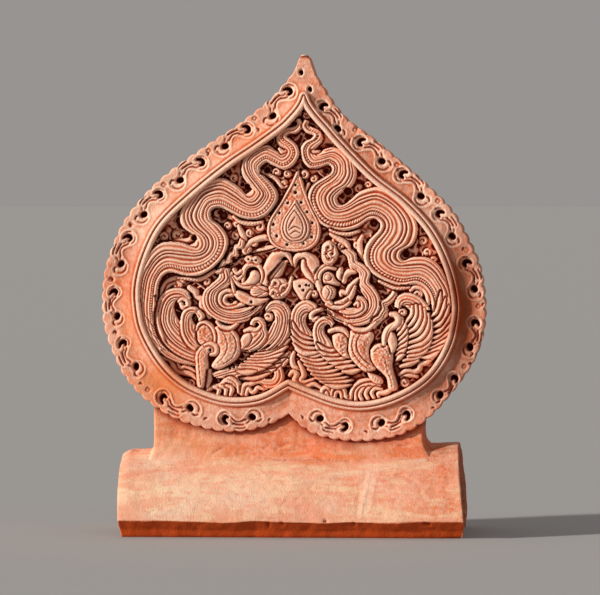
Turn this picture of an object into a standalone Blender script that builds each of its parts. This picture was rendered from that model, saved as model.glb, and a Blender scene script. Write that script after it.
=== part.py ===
"""Terracotta ridge tile with an upright leaf-shaped panel, carved with two facing phoenixes.

One fired piece: a barrel tile, a neck luted on its crown, and the leaf panel on the neck.
Front faces -Y, +Z is up, and the origin is under the middle of the bounding box.
Free forms are drawn on a layout sheet, squared in steps that run right and down,
whose size follows the height of the leaf. All lengths are metres.
"""

import itertools
import math

import bmesh
import bpy
from mathutils import Vector

# Driving dimensions of the barrel tile
TILE_LENGTH = 0.528
TILE_HALF_WIDTH = 0.150
TILE_WALL = 0.036
CROWN_LEFT = 0.130
CROWN_RIGHT = 0.142
CUT_RISE = 0.026
FOOT_FLAT = 0.008
TILE_SHIFT = -0.0072
RIGHT_END_LEAN = 0.0085

# Driving dimensions of the neck
NECK_HEIGHT = 0.049
NECK_LENGTH = 0.421
NECK_HALF_THICKNESS = 0.062
NECK_SHIFT = -0.008
NECK_CORNER = 0.006
FILLET_SPREAD = 0.014
FILLET_HEIGHT = 0.012
NECK_TENON = 0.025

# Driving dimensions of the leaf panel
LEAF_HEIGHT = 0.565
LEAF_HALF_THICKNESS_FOOT = 0.068
LEAF_HALF_THICKNESS_TIP = 0.036
LOBE_PITCH = 0.0185
LOBE_HEIGHT = 0.0026
FIELD_DEPTH = 0.024
BACK_DEPTH = 0.010
RIM_HALF_WIDTH = 0.0073
RIM_PROUD = 0.008
HOLE_RADIUS = 0.0066
HOLE_DEPTH = 0.030

# Carving: how far its bodies reach below the recess floors, and the depth of the grooves between ridges
ROOT_DEPTH = 0.003
EDGE_DROP = 0.005
STRAND_GROOVE = 0.0055
FEATHER_GROOVE = 0.0065

# Levels of the carving's crests over the border's face
TAIL_LEVEL = -0.004
LEFT_BIRD_LEVEL = 0.0003
RIGHT_BIRD_LEVEL = 0.0007
OUTER_WING_LEVEL = -0.0015
INNER_WING_LEVEL = -0.001
OUTER_TIP_LEVEL = 0.0005
INNER_TIP_LEVEL = 0.001
FAR_FEATHER_LEVEL = -0.0065
MANE_LEVEL = -0.002
FLAME_LEVEL = -0.004
DROP_LEVEL = 0.0005
CLOUD_LEVEL = -0.006
KNOB_LEVEL = -0.005

# Neighbouring strokes differ by these small steps in level and in depth, so that no two faces coincide
LEVEL_STAGGER = 0.0001
ROOT_STAGGER = 0.00007

# Pieces of the rim's line between two of its points; the back is plainer
FRONT_RIM_PIECES = 2
BACK_RIM_PIECES = 1

# How far a cutter stands clear of the face that it cuts
CUTTER_CLEARANCE = 0.02

# The layout sheet: the tip and the lower cusp of the leaf, its middle and the line over the part's middle
SHEET_TIP = (303.0, 54.0)
SHEET_CUSP = (290.0, 416.0)
SHEET_CENTRE = (290.0, 270.0)
SHEET_MIDDLE = 293.55

TERRACOTTA = (0.66, 0.27, 0.15, 1.0)

LEAF_LEFT = [
    (303, 54), (290, 75), (270, 99), (240, 123), (204, 147), (170, 171), (144, 195), (121, 226),
    (105.5, 266), (102, 299), (104, 326), (113, 353), (126, 378), (149, 402), (180, 420), (218, 430),
    (250, 429.5), (275, 421.5), (289.5, 413.5),
]
LEAF_RIGHT = [
    (303, 54), (317, 83), (342, 115), (372, 138), (402, 163), (430, 188), (452, 211), (467, 237),
    (480, 268), (485, 304), (483, 333), (474, 360), (455, 388), (430, 416), (404, 432.5),
    (375, 439), (346, 439.5), (318, 434), (302, 425), (289.5, 413.5),
]
RIM_LEFT = [
    (303.5, 102), (279.5, 129.5), (226, 165), (189.5, 194.5), (160, 223.5), (144.5, 253.5),
    (136.2, 285.5), (137.6, 314), (144.2, 336), (159.7, 362), (178.8, 381.3), (201.5, 393.7),
    (229.5, 401.3), (260.5, 398.5), (289, 383.5),
]
RIM_RIGHT = [
    (303.5, 102), (315.5, 116), (338.5, 142.5), (371.8, 176.5), (405, 202.5), (431, 231.7),
    (448.5, 267.5), (456.3, 302.3), (453.4, 331.2), (445.6, 353), (431.4, 374), (412.5, 389),
    (387.5, 400.5), (362, 405.3), (336.8, 402), (310.8, 392.6), (289, 383.5),
]
BORDER_HOLES = [
    (300.6, 72), (310.6, 89), (289, 91.5), (322, 106), (271.5, 118), (337, 130.5), (247, 130),
    (359, 143), (223, 148), (382, 163), (201, 163), (401, 175), (178, 182), (421, 198),
    (159, 195), (438, 214), (142, 216.5), (452, 239), (128.5, 238.5), (465, 264), (120, 266.5),
    (474, 290.5), (114, 292), (474, 322), (117, 318), (469, 348), (121.5, 347), (454, 377),
    (137, 368), (439, 395), (163, 397), (407, 413), (192, 408), (380, 422), (225, 418),
    (346, 425), (254, 416), (319, 417),
]

# Sheaves of hair or feathers lie between two guide lines: each entry pairs a point of each
LEFT_TAIL = [
    ((290, 139), (283, 141)), ((297, 154), (287, 149)), ((286, 168.5), (282, 152.5)),
    ((268, 162), (270, 145)), ((259, 168), (247, 156.5)), ((264, 177), (242.5, 174)),
    ((274, 188), (249, 185)), ((277, 199), (251.5, 189.5)), ((266, 214.5), (249, 193.5)),
    ((248, 220), (244.5, 194)), ((232, 213.5), (238, 188)), ((219, 206.5), (218, 178)),
    ((210.5, 212), (191, 195)), ((213, 220), (179.5, 215)), ((223, 230), (185, 230.5)),
    ((226, 243), (196, 236)), ((221, 257), (198, 241.5)), ((206, 272.5), (193, 246)),
    ((190, 277), (182, 244)), ((170, 272), (163, 243)), ((160, 278), (145, 260)),
    ((156.5, 291), (140, 282)), ((157, 306), (141, 304)), ((160, 320), (146, 321)),
]
RIGHT_TAIL = [
    ((307, 140.5), (318, 143)), ((300, 150), (311, 150)), ((302, 162), (312, 153)),
    ((313, 168.5), (319, 150.5)), ((327, 164.5), (337, 149)), ((331, 170), (352, 164)),
    ((325, 177), (354, 178)), ((313, 184), (345, 190)), ((308, 198), (338.5, 198)),
    ((316, 216), (341, 203)), ((335, 230), (346, 203.5)), ((352, 229.5), (354, 198.5)),
    ((366, 220.5), (368, 189.5)), ((379, 220.5), (393, 195)), ((380.5, 228), (412, 214)),
    ((373, 235.5), (416.5, 236)), ((365, 246), (404, 249.5)), ((365, 261), (399, 256)),
    ((378, 276), (402, 260)), ((398, 286), (411, 259)), ((417, 283), (427, 258)),
    ((429, 291), (442, 271)), ((432, 303), (449, 291)), ((432, 316), (449, 308)),
]
LEFT_OUTER_WING = [
    ((190, 297), (186, 304)), ((180, 289), (184, 300)), ((168, 292.5), (177, 302)),
    ((158, 304), (172, 311)), ((155.5, 320), (172, 320)), ((158, 335), (175, 329)),
    ((166, 349), (181, 337)), ((180, 357.5), (189, 342)), ((197, 358.5), (198, 345)),
]
LEFT_OUTER_WING_TIP = [
    ((201, 311), (199, 320)), ((193, 307.5), (195, 314)), ((184, 312), (190.5, 318)),
    ((180.5, 323), (191, 326)), ((183, 336), (194, 334)), ((191, 348), (199, 342)),
]
LEFT_FAR_FEATHERS = [
    ((144, 318), (159, 312)), ((149, 333), (162, 328)), ((157, 348), (171, 343)),
    ((171, 357), (182, 351)),
]
LEFT_INNER_WING = [
    ((267, 304), (271, 318)), ((277, 301.5), (274, 312)), ((286, 308), (276, 317)),
    ((288.5, 321), (273, 326)), ((285, 337), (264, 334)), ((274, 352), (254, 341)),
    ((258, 365), (245, 348)), ((238, 371), (237, 356)),
]
LEFT_INNER_WING_TIP = [
    ((252, 324), (255.5, 326)), ((256, 318.5), (257, 323)), ((263, 323), (258, 326)),
    ((263, 333), (253, 329)), ((254, 341), (244, 333)), ((243, 350), (238, 340)),
]
RIGHT_INNER_WING = [
    ((315, 301), (316, 316)), ((303, 300.5), (309, 314)), ((294, 309), (305, 320)),
    ((292, 325), (306, 332)), ((295, 342), (315, 341)), ((303, 358), (327, 350)),
    ((318, 373), (340, 357)), ((338, 383), (352, 364)),
]
RIGHT_INNER_WING_TIP = [
    ((333, 322), (330, 328)), ((324, 317), (326, 321)), ((315, 324), (322, 325)),
    ((315, 338), (324, 334)), ((321, 351), (329, 342)), ((334, 361), (336, 351)),
]
RIGHT_OUTER_WING = [
    ((397, 302), (401, 313)), ((404, 294.5), (402, 308)), ((418, 298), (407, 310)),
    ((429, 311), (410, 317)), ((431.5, 328), (410, 322)), ((426, 344), (409.5, 327)),
    ((414, 357), (409, 331)), ((401, 365), (407, 336)),
]
RIGHT_TAIL_COMB = [
    ((449, 312), (437, 300)), ((446, 325), (435, 309)), ((439, 336), (433, 318)),
    ((430, 343), (431, 328)),
]
LEFT_MANE = [
    ((218, 271), (229, 272)), ((221, 279), (230, 285)), ((208, 288), (222, 291)),
    ((203, 299), (219, 299)), ((210, 313), (222, 306)), ((226, 321), (230, 308)),
    ((244, 321), (241, 306)), ((262, 307), (256, 300)),
]
RIGHT_MANE = [
    ((368, 266), (352, 266)), ((369, 277), (360, 277)), ((370, 286), (361, 288)),
    ((378, 300), (367, 299)), ((375, 314), (367, 310)), ((360, 323.5), (357, 316)),
    ((341, 321), (343, 315)), ((325, 311), (332, 309)),
]

# Single strokes: points on the sheet, then the half-width at the start, middle and end, in steps
LEFT_STROKES = {
    "upper_beak": ([(262, 284), (263, 268), (270, 257), (280, 252), (288, 255), (291, 264)], 3, 6, 1),
    "lower_beak": ([(270, 280), (276, 271), (282, 262)], 3, 3.2, 1.5),
    "brow": ([(242, 283), (243, 271), (251, 264.5), (259, 268), (263, 278)], 2, 2, 2),
    "cheek": ([(248, 291), (257, 291), (266, 290)], 3, 5.5, 3),
    "wattle": ([(272, 298), (279, 292), (284, 287), (291, 279)], 3, 5, 1),
    "throat": ([(233, 273), (234, 290), (246, 302), (262, 302)], 2.5, 4, 3),
    "crest_streamer": ([(273, 237), (260, 239), (249, 246), (246, 254)], 3, 4, 3),
    "neck_streamer": ([(242, 243), (232, 253), (228, 262), (219, 270)], 2.5, 4.5, 3),
    "breast": ([(224, 324), (227, 342), (224, 356), (214, 367)], 8, 10.5, 3),
    "thigh": ([(213, 346), (204, 349), (200, 358)], 4, 5, 3.5),
    "shank": ([(200, 352), (201, 368), (199, 386)], 4, 3.5, 3),
    "wing_shoulder": ([(239, 340), (244, 331.5), (252, 329), (259, 326), (259, 320), (254, 320)], 3, 3, 2),
    "tail_curl": ([(291, 125), (297, 124), (299, 129), (291, 132.5), (281, 135), (280, 143)], 2, 3, 3),
    "flank_cloud": ([(176, 281), (166, 279), (160, 286), (159, 296)], 4, 5, 3),
}
RIGHT_STROKES = {
    "upper_beak": ([(319, 284), (318, 270), (313, 259), (304, 254), (296, 257), (294, 264)], 3, 5.5, 1),
    "lower_beak": ([(312, 280), (307, 271), (302, 262)], 4.5, 3.6, 1.5),
    "brow": ([(317, 280), (319, 271), (325, 266), (334, 265)], 2, 2, 1.5),
    "cheek": ([(321, 286), (325, 293), (328, 300)], 4, 8, 4),
    "wattle": ([(293, 280), (300, 288), (304, 297)], 2, 7.5, 4),
    "horn": ([(337, 270), (341, 280), (346, 276), (354, 271)], 2.5, 3, 2.5),
    "mane_curl": ([(358, 303), (363, 300), (366, 308), (357, 315), (341, 313)], 2, 3.4, 2.5),
    "throat": ([(352, 286), (350, 300), (340, 306), (329, 304)], 2.5, 3.2, 2.5),
    "breast": ([(362, 334), (357, 346), (362, 357), (372, 366)], 9, 8, 4),
    "thigh": ([(372, 358), (379, 350), (387, 354)], 6, 9, 6),
    "shank": ([(386, 350), (387, 370), (388, 390)], 7.5, 5.5, 3),
    "wing_root": ([(383, 343), (386, 332), (395, 326), (396, 316), (389, 313)], 3.5, 4, 2.5),
    "wing_patch": ([(341, 334), (341, 342), (341, 351)], 6, 7, 4),
    "scarf": ([(352, 328), (367, 329), (376, 321), (385, 318), (384, 308), (394, 295)], 2.5, 3, 3),
    "thigh_plume": ([(390, 331), (393, 341), (392, 351)], 2, 5.5, 3),
    "tail_curl": ([(313, 128), (305, 126), (304, 131), (312, 134), (319, 138), (315, 145)], 2, 2.6, 3),
}
JEWEL_FLAME = (
    [(297, 171), (294, 190), (294, 207), (294, 225), (295, 240), (296, 251)], 1, 24, 14,
)
JEWEL_DROP = ([(295, 200), (295, 212), (295, 226), (295, 242)], 1, 13, 7)
CLOUD_STROKES = [
    ([(161, 357), (168, 361), (175, 367), (181, 374), (190, 376), (196, 383)], 2.5, 3.5, 2.5),
    ([(203, 389), (213, 385), (226, 383), (238, 381), (250, 384), (260, 382)], 2, 3.5, 2),
    ([(226, 379), (236, 378), (243, 386), (248, 393)], 3, 4, 2.5),
    ([(252, 391), (256, 384), (264, 384), (272, 387), (280, 382), (277, 369)], 2.5, 4.5, 2.5),
    ([(293, 353), (290, 366), (300, 370), (296, 382), (306, 386), (320, 387)], 3, 4.5, 3),
    ([(322, 396), (326, 391), (331, 396), (338, 390), (345, 397), (352, 392)], 2.5, 3.2, 2.5),
    ([(352, 396), (356, 385), (366, 380), (378, 384), (384, 391)], 3, 3.6, 2.5),
    ([(361, 399), (364, 391), (372, 388), (378, 393), (390, 392)], 2.5, 3.4, 2.5),
    ([(400, 375), (409, 372), (418, 371), (421, 364), (430, 361)], 3, 3.6, 2),
    ([(398, 384), (404, 379), (410, 384)], 2.5, 3, 2.5),
]
POCKET_KNOBS = [
    (176, 235, 6.5), (164, 237, 4.5), (233, 178, 5), (259, 227, 5.5), (283, 184, 5.5), (304, 177, 5),
    (360, 188, 6), (367, 181, 4), (331, 244, 6), (330, 257, 6), (423, 242, 5), (427, 253, 5),
    (197, 298, 5), (204, 337, 7), (418, 292, 6), (254, 277, 6.5), (328, 278, 6.5), (314, 294, 4.5),
    (251, 259, 4.5), (192, 384, 4.5), (405, 382, 4),
]

# Guide lines, number of ridges, level of the crests and depth of the grooves of each sheaf
SHEAVES = [
    (LEFT_TAIL, 4, TAIL_LEVEL, STRAND_GROOVE),
    (RIGHT_TAIL, 4, TAIL_LEVEL, STRAND_GROOVE),
    (LEFT_OUTER_WING, 4, OUTER_WING_LEVEL, FEATHER_GROOVE),
    (LEFT_OUTER_WING_TIP, 2, OUTER_TIP_LEVEL, FEATHER_GROOVE),
    (LEFT_FAR_FEATHERS, 2, FAR_FEATHER_LEVEL, FEATHER_GROOVE),
    (LEFT_INNER_WING, 4, INNER_WING_LEVEL, FEATHER_GROOVE),
    (LEFT_INNER_WING_TIP, 2, INNER_TIP_LEVEL, FEATHER_GROOVE),
    (RIGHT_INNER_WING, 4, INNER_WING_LEVEL, FEATHER_GROOVE),
    (RIGHT_INNER_WING_TIP, 2, INNER_TIP_LEVEL, FEATHER_GROOVE),
    (RIGHT_OUTER_WING, 4, OUTER_WING_LEVEL, FEATHER_GROOVE),
    (RIGHT_TAIL_COMB, 2, FAR_FEATHER_LEVEL, FEATHER_GROOVE),
    (LEFT_MANE, 3, MANE_LEVEL, FEATHER_GROOVE),
    (RIGHT_MANE, 3, MANE_LEVEL, FEATHER_GROOVE),
]
STROKES = [
    (LEFT_STROKES.values(), LEFT_BIRD_LEVEL),
    (RIGHT_STROKES.values(), RIGHT_BIRD_LEVEL),
    ([JEWEL_FLAME], FLAME_LEVEL),
    ([JEWEL_DROP], DROP_LEVEL),
    (CLOUD_STROKES, CLOUD_LEVEL),
]

STEP = LEAF_HEIGHT / (SHEET_CUSP[1] - SHEET_TIP[1])
CROWN_MEAN = (CROWN_LEFT + CROWN_RIGHT) / 2
CUSP_LEVEL = CROWN_MEAN + NECK_HEIGHT


def half_thickness(z):
    """Half the thickness of the leaf panel at a level, thinner towards the tip."""
    share = (z - CUSP_LEVEL) / LEAF_HEIGHT
    return LEAF_HALF_THICKNESS_FOOT + share * (LEAF_HALF_THICKNESS_TIP - LEAF_HALF_THICKNESS_FOOT)


def on_leaf(point, height, side=-1.0):
    """The place of a sheet point, standing proud of the border's face by a height."""
    x = (point[0] - SHEET_MIDDLE) * STEP
    z = CUSP_LEVEL + (SHEET_CUSP[1] - point[1]) * STEP
    return Vector((x, side * (half_thickness(z) + height), z))


def smooth_line(points, pieces):
    """A Catmull-Rom curve through the points, with so many pieces between each two."""
    ends = [2 * points[0] - points[1]] + points + [2 * points[-1] - points[-2]]
    line = []
    for i in range(1, len(ends) - 2):
        before, here, there, after = ends[i - 1:i + 3]
        for k in range(pieces):
            t = k / pieces
            line.append(0.5 * (2 * here + t * (there - before)
                               + t * t * (2 * before - 5 * here + 4 * there - after)
                               + t ** 3 * (3 * here - before - 3 * there + after)))
    return line + [points[-1]]


def flat(points):
    """Sheet points as vectors."""
    return [Vector((float(p[0]), float(p[1]))) for p in points]


def even_line(line, count):
    """So many points at even distances along a line, both ends among them."""
    lengths = [0.0]
    for a, b in zip(line, line[1:]):
        lengths.append(lengths[-1] + (b - a).length)
    places = []
    k = 0
    for i in range(count):
        wanted = lengths[-1] * i / (count - 1)
        while k < len(lengths) - 2 and lengths[k + 1] < wanted:
            k += 1
        share = (wanted - lengths[k]) / (lengths[k + 1] - lengths[k])
        places.append(line[k].lerp(line[k + 1], share))
    return places


def line_length(line):
    """The length of a line in steps."""
    return sum((b - a).length for a, b in zip(line, line[1:]))


def loft(bm, rings):
    """A closed body through rings of equal count, with a cap at each end."""
    rows = [[bm.verts.new(co) for co in ring] for ring in rings]
    for a, b in zip(rows, rows[1:]):
        for k in range(len(a)):
            n = (k + 1) % len(a)
            bm.faces.new((a[k], a[n], b[n], b[k]))
    bm.faces.new(list(reversed(rows[0])))
    bm.faces.new(rows[-1])


def plate(bm, tops, roots):
    """A closed body between a grid of upper points and the same grid of lower points."""
    upper = [[bm.verts.new(co) for co in row] for row in tops]
    lower = [[bm.verts.new(co) for co in row] for row in roots]
    rows, columns = len(upper), len(upper[0])
    for i in range(rows - 1):
        for k in range(columns - 1):
            for grid in (upper, lower):
                bm.faces.new((grid[i][k], grid[i][k + 1], grid[i + 1][k + 1], grid[i + 1][k]))
        for k in (0, columns - 1):
            bm.faces.new((upper[i][k], lower[i][k], lower[i + 1][k], upper[i + 1][k]))
    for k in range(columns - 1):
        for i in (0, rows - 1):
            bm.faces.new((upper[i][k], lower[i][k], lower[i][k + 1], upper[i][k + 1]))


def finished(bm, name, material=None, triangles=False):
    """Turns a bmesh into an object whose faces point out; bent faces become triangles."""
    if triangles:
        bmesh.ops.triangulate(bm, faces=bm.faces)
    bmesh.ops.recalc_face_normals(bm, faces=bm.faces)
    mesh = bpy.data.meshes.new(name)
    bm.to_mesh(mesh)
    bm.free()
    if material:
        mesh.materials.append(material)
    obj = bpy.data.objects.new(name, mesh)
    bpy.context.collection.objects.link(obj)
    return obj


def terracotta():
    """Fired clay: orange-pink, matt and not metallic."""
    material = bpy.data.materials.new("terracotta")
    material.use_nodes = True
    shader = material.node_tree.nodes["Principled BSDF"]
    shader.inputs["Base Color"].default_value = TERRACOTTA
    shader.inputs["Roughness"].default_value = 0.85
    shader.inputs["Metallic"].default_value = 0.0
    return material


def scalloped(points):
    """One side of the leaf's edge with its small round lobes, from tip to cusp."""
    line = smooth_line(flat(points), 8)
    lobes = round(line_length(line) * STEP / LOBE_PITCH)
    places = even_line(line, lobes * 3 + 1)
    edge = []
    for i in range(lobes * 3):
        along = places[i + 1] - places[max(i - 1, 0)]
        outward = Vector((along.y, -along.x)).normalized()
        if outward.dot(places[i] - Vector(SHEET_CENTRE)) < 0:
            outward = -outward
        valley = i % 3 == 0
        rise = (-0.5 if valley else 0.5) * LOBE_HEIGHT / STEP
        edge.append(places[i] + outward * rise if i else places[i])
    return edge


def leaf_edge():
    """The whole scalloped edge of the leaf, once round."""
    left = scalloped(LEAF_LEFT)
    right = scalloped(LEAF_RIGHT)
    cusp = flat(LEAF_LEFT[-1:])
    return left + cusp + list(reversed(right[1:]))


def rim_line(pieces):
    """The middle line of the rim moulding, once round from the tip."""
    left = smooth_line(flat(RIM_LEFT), pieces)
    right = smooth_line(flat(RIM_RIGHT), pieces)
    return left + list(reversed(right[1:-1]))


def leaf_slab(material):
    """The panel itself, thinner towards the tip."""
    bm = bmesh.new()
    edge = leaf_edge()
    loft(bm, [[on_leaf(p, 0.0) for p in edge], [on_leaf(p, 0.0, 1.0) for p in edge]])
    return finished(bm, "ridge_tile", material)


def crown_at(x):
    """Height of the barrel's crown at a place along the tile."""
    share = (x - TILE_SHIFT) / TILE_LENGTH + 0.5
    return CROWN_LEFT + share * (CROWN_RIGHT - CROWN_LEFT)


def arc_at(x):
    """Radius and height of centre of the barrel's outer arc at a place along the tile."""
    rise = crown_at(x) - CUT_RISE
    radius = (rise * rise + TILE_HALF_WIDTH ** 2) / (2 * rise)
    return radius, crown_at(x) - radius


def barrel_section(x, lean):
    """The barrel's section: outer arc, slanting wire cuts, narrow feet and inner arc."""
    radius, centre = arc_at(x)
    reach = math.asin(TILE_HALF_WIDTH / radius)
    inner = radius - TILE_WALL
    inner_reach = math.acos(-centre / inner)
    outer_arc = 14
    inner_arc = 10
    ring = []
    for i in range(outer_arc + 1):
        a = -reach + 2 * reach * i / outer_arc
        ring.append((radius * math.sin(a), centre + radius * math.cos(a)))
    foot = inner * math.sin(inner_reach)
    ring.append((foot + FOOT_FLAT, 0.0))
    for i in range(inner_arc + 1):
        a = inner_reach - 2 * inner_reach * i / inner_arc
        ring.append((inner * math.sin(a), centre + inner * math.cos(a)))
    ring.append((-foot - FOOT_FLAT, 0.0))
    return [Vector((x + lean * (1.0 - z / crown_at(x)), y, z)) for y, z in ring]


def barrel_tile():
    """The hollow barrel, a little higher at its right end, where the end wall leans out at the foot."""
    bm = bmesh.new()
    left = TILE_SHIFT - TILE_LENGTH / 2
    loft(bm, [barrel_section(left, 0.0), barrel_section(left + TILE_LENGTH, RIGHT_END_LEAN)])
    return finished(bm, "barrel_body")


def barrel_top(x, y, depth):
    """Height of the barrel's outer surface over a point, or of one that lies a depth inside it."""
    radius, centre = arc_at(x)
    return centre + math.sqrt((radius - depth) ** 2 - y * y)


def neck_ring(z, spread):
    """An oblong with cut corners round the neck at a level, less spread at its ends."""
    x = NECK_LENGTH / 2 + spread / 2
    y = NECK_HALF_THICKNESS + spread
    c = NECK_CORNER
    corners = [(x - c, -y), (x, c - y), (x, y - c), (x - c, y),
               (c - x, y), (-x, y - c), (-x, c - y), (c - x, -y)]
    return [Vector((NECK_SHIFT + a, b, z)) for a, b in corners]


def neck():
    """The block between tile and leaf, with a clay fillet; its foot ends inside the barrel's wall."""
    bm = bmesh.new()
    ends = (NECK_SHIFT - NECK_LENGTH / 2, NECK_SHIFT + NECK_LENGTH / 2)
    outside = min(barrel_top(x, NECK_HALF_THICKNESS + FILLET_SPREAD, 0.0) for x in ends)
    inside = max(barrel_top(x, 0.0, TILE_WALL) for x in ends)
    top = CUSP_LEVEL + NECK_TENON
    loft(bm, [neck_ring((outside + inside) / 2, FILLET_SPREAD), neck_ring(CROWN_MEAN, FILLET_SPREAD / 3),
              neck_ring(CROWN_MEAN + FILLET_HEIGHT, 0.0), neck_ring(top, 0.0)])
    return finished(bm, "neck_body")


def recess(name, line, depth, side):
    """The hollow inside the rim's line, cut to a depth from one face."""
    bm = bmesh.new()
    levels = (CUTTER_CLEARANCE, -depth)
    loft(bm, [[on_leaf(p, level, side) for p in line] for level in levels])
    return finished(bm, name)


def border_holes():
    """The drilled eyes of the scrolls along the border."""
    bm = bmesh.new()
    sides = 6
    radius = HOLE_RADIUS / STEP
    for hole in BORDER_HOLES:
        rings = []
        for height in (CUTTER_CLEARANCE, -HOLE_DEPTH):
            ring = []
            for k in range(sides):
                a = 2 * math.pi * k / sides
                spot = (hole[0] + radius * math.cos(a), hole[1] + radius * math.sin(a))
                ring.append(on_leaf(spot, height))
            rings.append(ring)
        loft(bm, rings)
    return finished(bm, "border_hole_cutter")


def rim(bm, line, side, depth, crests):
    """A moulding swept round the recess, from the border down past the recess floor."""
    count = len(line)
    half = RIM_HALF_WIDTH / STEP
    section = [(1.0, -ROOT_DEPTH)] + crests + [(-1.0, -depth - ROOT_DEPTH), (0.3, -depth - ROOT_DEPTH)]
    rows = []
    for i in range(count):
        along = line[(i + 1) % count] - line[i - 1]
        outward = Vector((along.y, -along.x)).normalized()
        if outward.dot(line[i] - Vector(SHEET_CENTRE)) < 0:
            outward = -outward
        rows.append([bm.verts.new(on_leaf(line[i] + outward * half * s, h, side)) for s, h in section])
    for i in range(count):
        a, b = rows[i], rows[(i + 1) % count]
        for k in range(len(section)):
            n = (k + 1) % len(section)
            bm.faces.new((a[k], a[n], b[n], b[k]))


def sheaf(bm, pairs, ridges, top, groove, root):
    """A bundle of hair or feathers: a ridged body between two guide lines."""
    tops = []
    roots = []
    for a, b in zip(flat([p[0] for p in pairs]), flat([p[1] for p in pairs])):
        across = [a.lerp(b, k / (2 * ridges)) for k in range(2 * ridges + 1)]
        tops.append([on_leaf(p, top if k % 2 else top - groove) for k, p in enumerate(across)])
        roots.append([on_leaf(p, -root) for p in across])
    plate(bm, tops, roots)


def stroke(bm, points, start, middle, end, top, root):
    """A rounded stroke of the gouge, whose width swells and tapers."""
    line = flat(points)
    count = len(line)
    rings = []
    for i in range(count):
        along = line[min(i + 1, count - 1)] - line[max(i - 1, 0)]
        across = Vector((-along.y, along.x)).normalized()
        t = i / (count - 1)
        half = start + (middle - start) * 2 * t if t < 0.5 else middle + (end - middle) * (2 * t - 1)
        section = [(-1.0, -root), (-0.85, top - EDGE_DROP), (0.0, top), (0.85, top - EDGE_DROP), (1.0, -root)]
        rings.append([on_leaf(line[i] + across * half * s, h) for s, h in section])
    loft(bm, rings)


def knob(bm, x, y, radius, top, root):
    """A small round swell, such as an eye or the head of a curl."""
    sides = 5
    rings = []
    for share, height in ((1.0, -root), (0.5, top)):
        ring = []
        for k in range(sides):
            a = 2 * math.pi * k / sides
            ring.append(on_leaf((x + radius * share * math.cos(a), y + radius * share * math.sin(a)), height))
        rings.append(ring)
    loft(bm, rings)


def carving():
    """Everything raised on the field and round it, as overlapping rooted bodies."""
    bm = bmesh.new()
    band_and_bead = [(0.5, RIM_PROUD), (0.1, RIM_PROUD / 2), (-0.4, RIM_PROUD)]
    rim(bm, rim_line(FRONT_RIM_PIECES), -1.0, FIELD_DEPTH, band_and_bead)
    rim(bm, rim_line(BACK_RIM_PIECES), 1.0, BACK_DEPTH, [(0.0, RIM_PROUD)])
    roots = (FIELD_DEPTH + ROOT_DEPTH + ROOT_STAGGER * k for k in itertools.count())
    for pairs, ridges, level, groove in SHEAVES:
        sheaf(bm, pairs, ridges, level, groove, next(roots))
    for strokes, level in STROKES:
        for number, (points, start, middle, end) in enumerate(strokes):
            stroke(bm, points, start, middle, end, level + LEVEL_STAGGER * number, next(roots))
    for number, (x, y, radius) in enumerate(POCKET_KNOBS):
        knob(bm, x, y, radius, KNOB_LEVEL + LEVEL_STAGGER * number, next(roots))
    return finished(bm, "carved_bodies", triangles=True)


def boolean(target, tool, operation, overlapping=False):
    """Joins a tool to the target or cuts it away, and leaves the tool as a guide."""
    modifier = target.modifiers.new(tool.name, "BOOLEAN")
    modifier.object = tool
    modifier.operation = operation
    modifier.solver = "EXACT"
    modifier.use_self = overlapping
    tool.hide_render = True
    tool.display_type = "WIRE"


def main():
    """Builds the ridge tile as one solid."""
    for obj in list(bpy.data.objects):
        bpy.data.objects.remove(obj, do_unlink=True)
    tile = leaf_slab(terracotta())
    boolean(tile, neck(), "UNION")
    boolean(tile, barrel_tile(), "UNION")
    front = recess("front_recess_cutter", rim_line(FRONT_RIM_PIECES), FIELD_DEPTH, -1.0)
    back = recess("back_recess_cutter", rim_line(BACK_RIM_PIECES), BACK_DEPTH, 1.0)
    boolean(tile, front, "DIFFERENCE")
    boolean(tile, back, "DIFFERENCE")
    boolean(tile, border_holes(), "DIFFERENCE")
    boolean(tile, carving(), "UNION", overlapping=True)


main()
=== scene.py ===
"""Looks of a terracotta ridge tile: a barrel tile with an upright leaf, carved with two facing phoenixes.

The carving is drawn on a layout sheet, squared in steps that run right and down, as a carver pounces it.
Heights on the sheet are millimetres over the border's face, and every mesh is in metres in the part's frame.
"""
import logging
import math
from dataclasses import dataclass, field
from enum import Enum
from typing import Optional, Sequence

import bpy
import numpy as np
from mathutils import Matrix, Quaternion, Vector


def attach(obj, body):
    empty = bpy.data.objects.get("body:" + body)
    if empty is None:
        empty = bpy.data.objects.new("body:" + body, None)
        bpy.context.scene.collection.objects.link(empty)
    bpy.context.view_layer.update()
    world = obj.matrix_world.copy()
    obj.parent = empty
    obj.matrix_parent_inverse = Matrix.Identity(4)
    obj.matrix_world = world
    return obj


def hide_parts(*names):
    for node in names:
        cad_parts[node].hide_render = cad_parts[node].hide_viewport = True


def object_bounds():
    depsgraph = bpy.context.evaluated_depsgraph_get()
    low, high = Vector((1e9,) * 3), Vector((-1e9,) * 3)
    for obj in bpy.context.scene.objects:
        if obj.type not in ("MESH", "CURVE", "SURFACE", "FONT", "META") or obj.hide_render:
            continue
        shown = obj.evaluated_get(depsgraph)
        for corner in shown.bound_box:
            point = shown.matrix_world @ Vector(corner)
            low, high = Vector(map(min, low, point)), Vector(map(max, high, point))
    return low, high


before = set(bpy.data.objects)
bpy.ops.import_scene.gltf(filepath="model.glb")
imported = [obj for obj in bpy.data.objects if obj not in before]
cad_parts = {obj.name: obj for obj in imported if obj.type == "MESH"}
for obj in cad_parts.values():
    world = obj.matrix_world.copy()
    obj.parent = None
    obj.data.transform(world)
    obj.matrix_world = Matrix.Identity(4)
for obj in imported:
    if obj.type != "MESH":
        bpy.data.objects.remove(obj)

LOG = logging.getLogger("ridge_tile")
CAD_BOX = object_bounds()
NODE = "ridge_tile"
MILLIMETRE = 0.001
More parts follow.
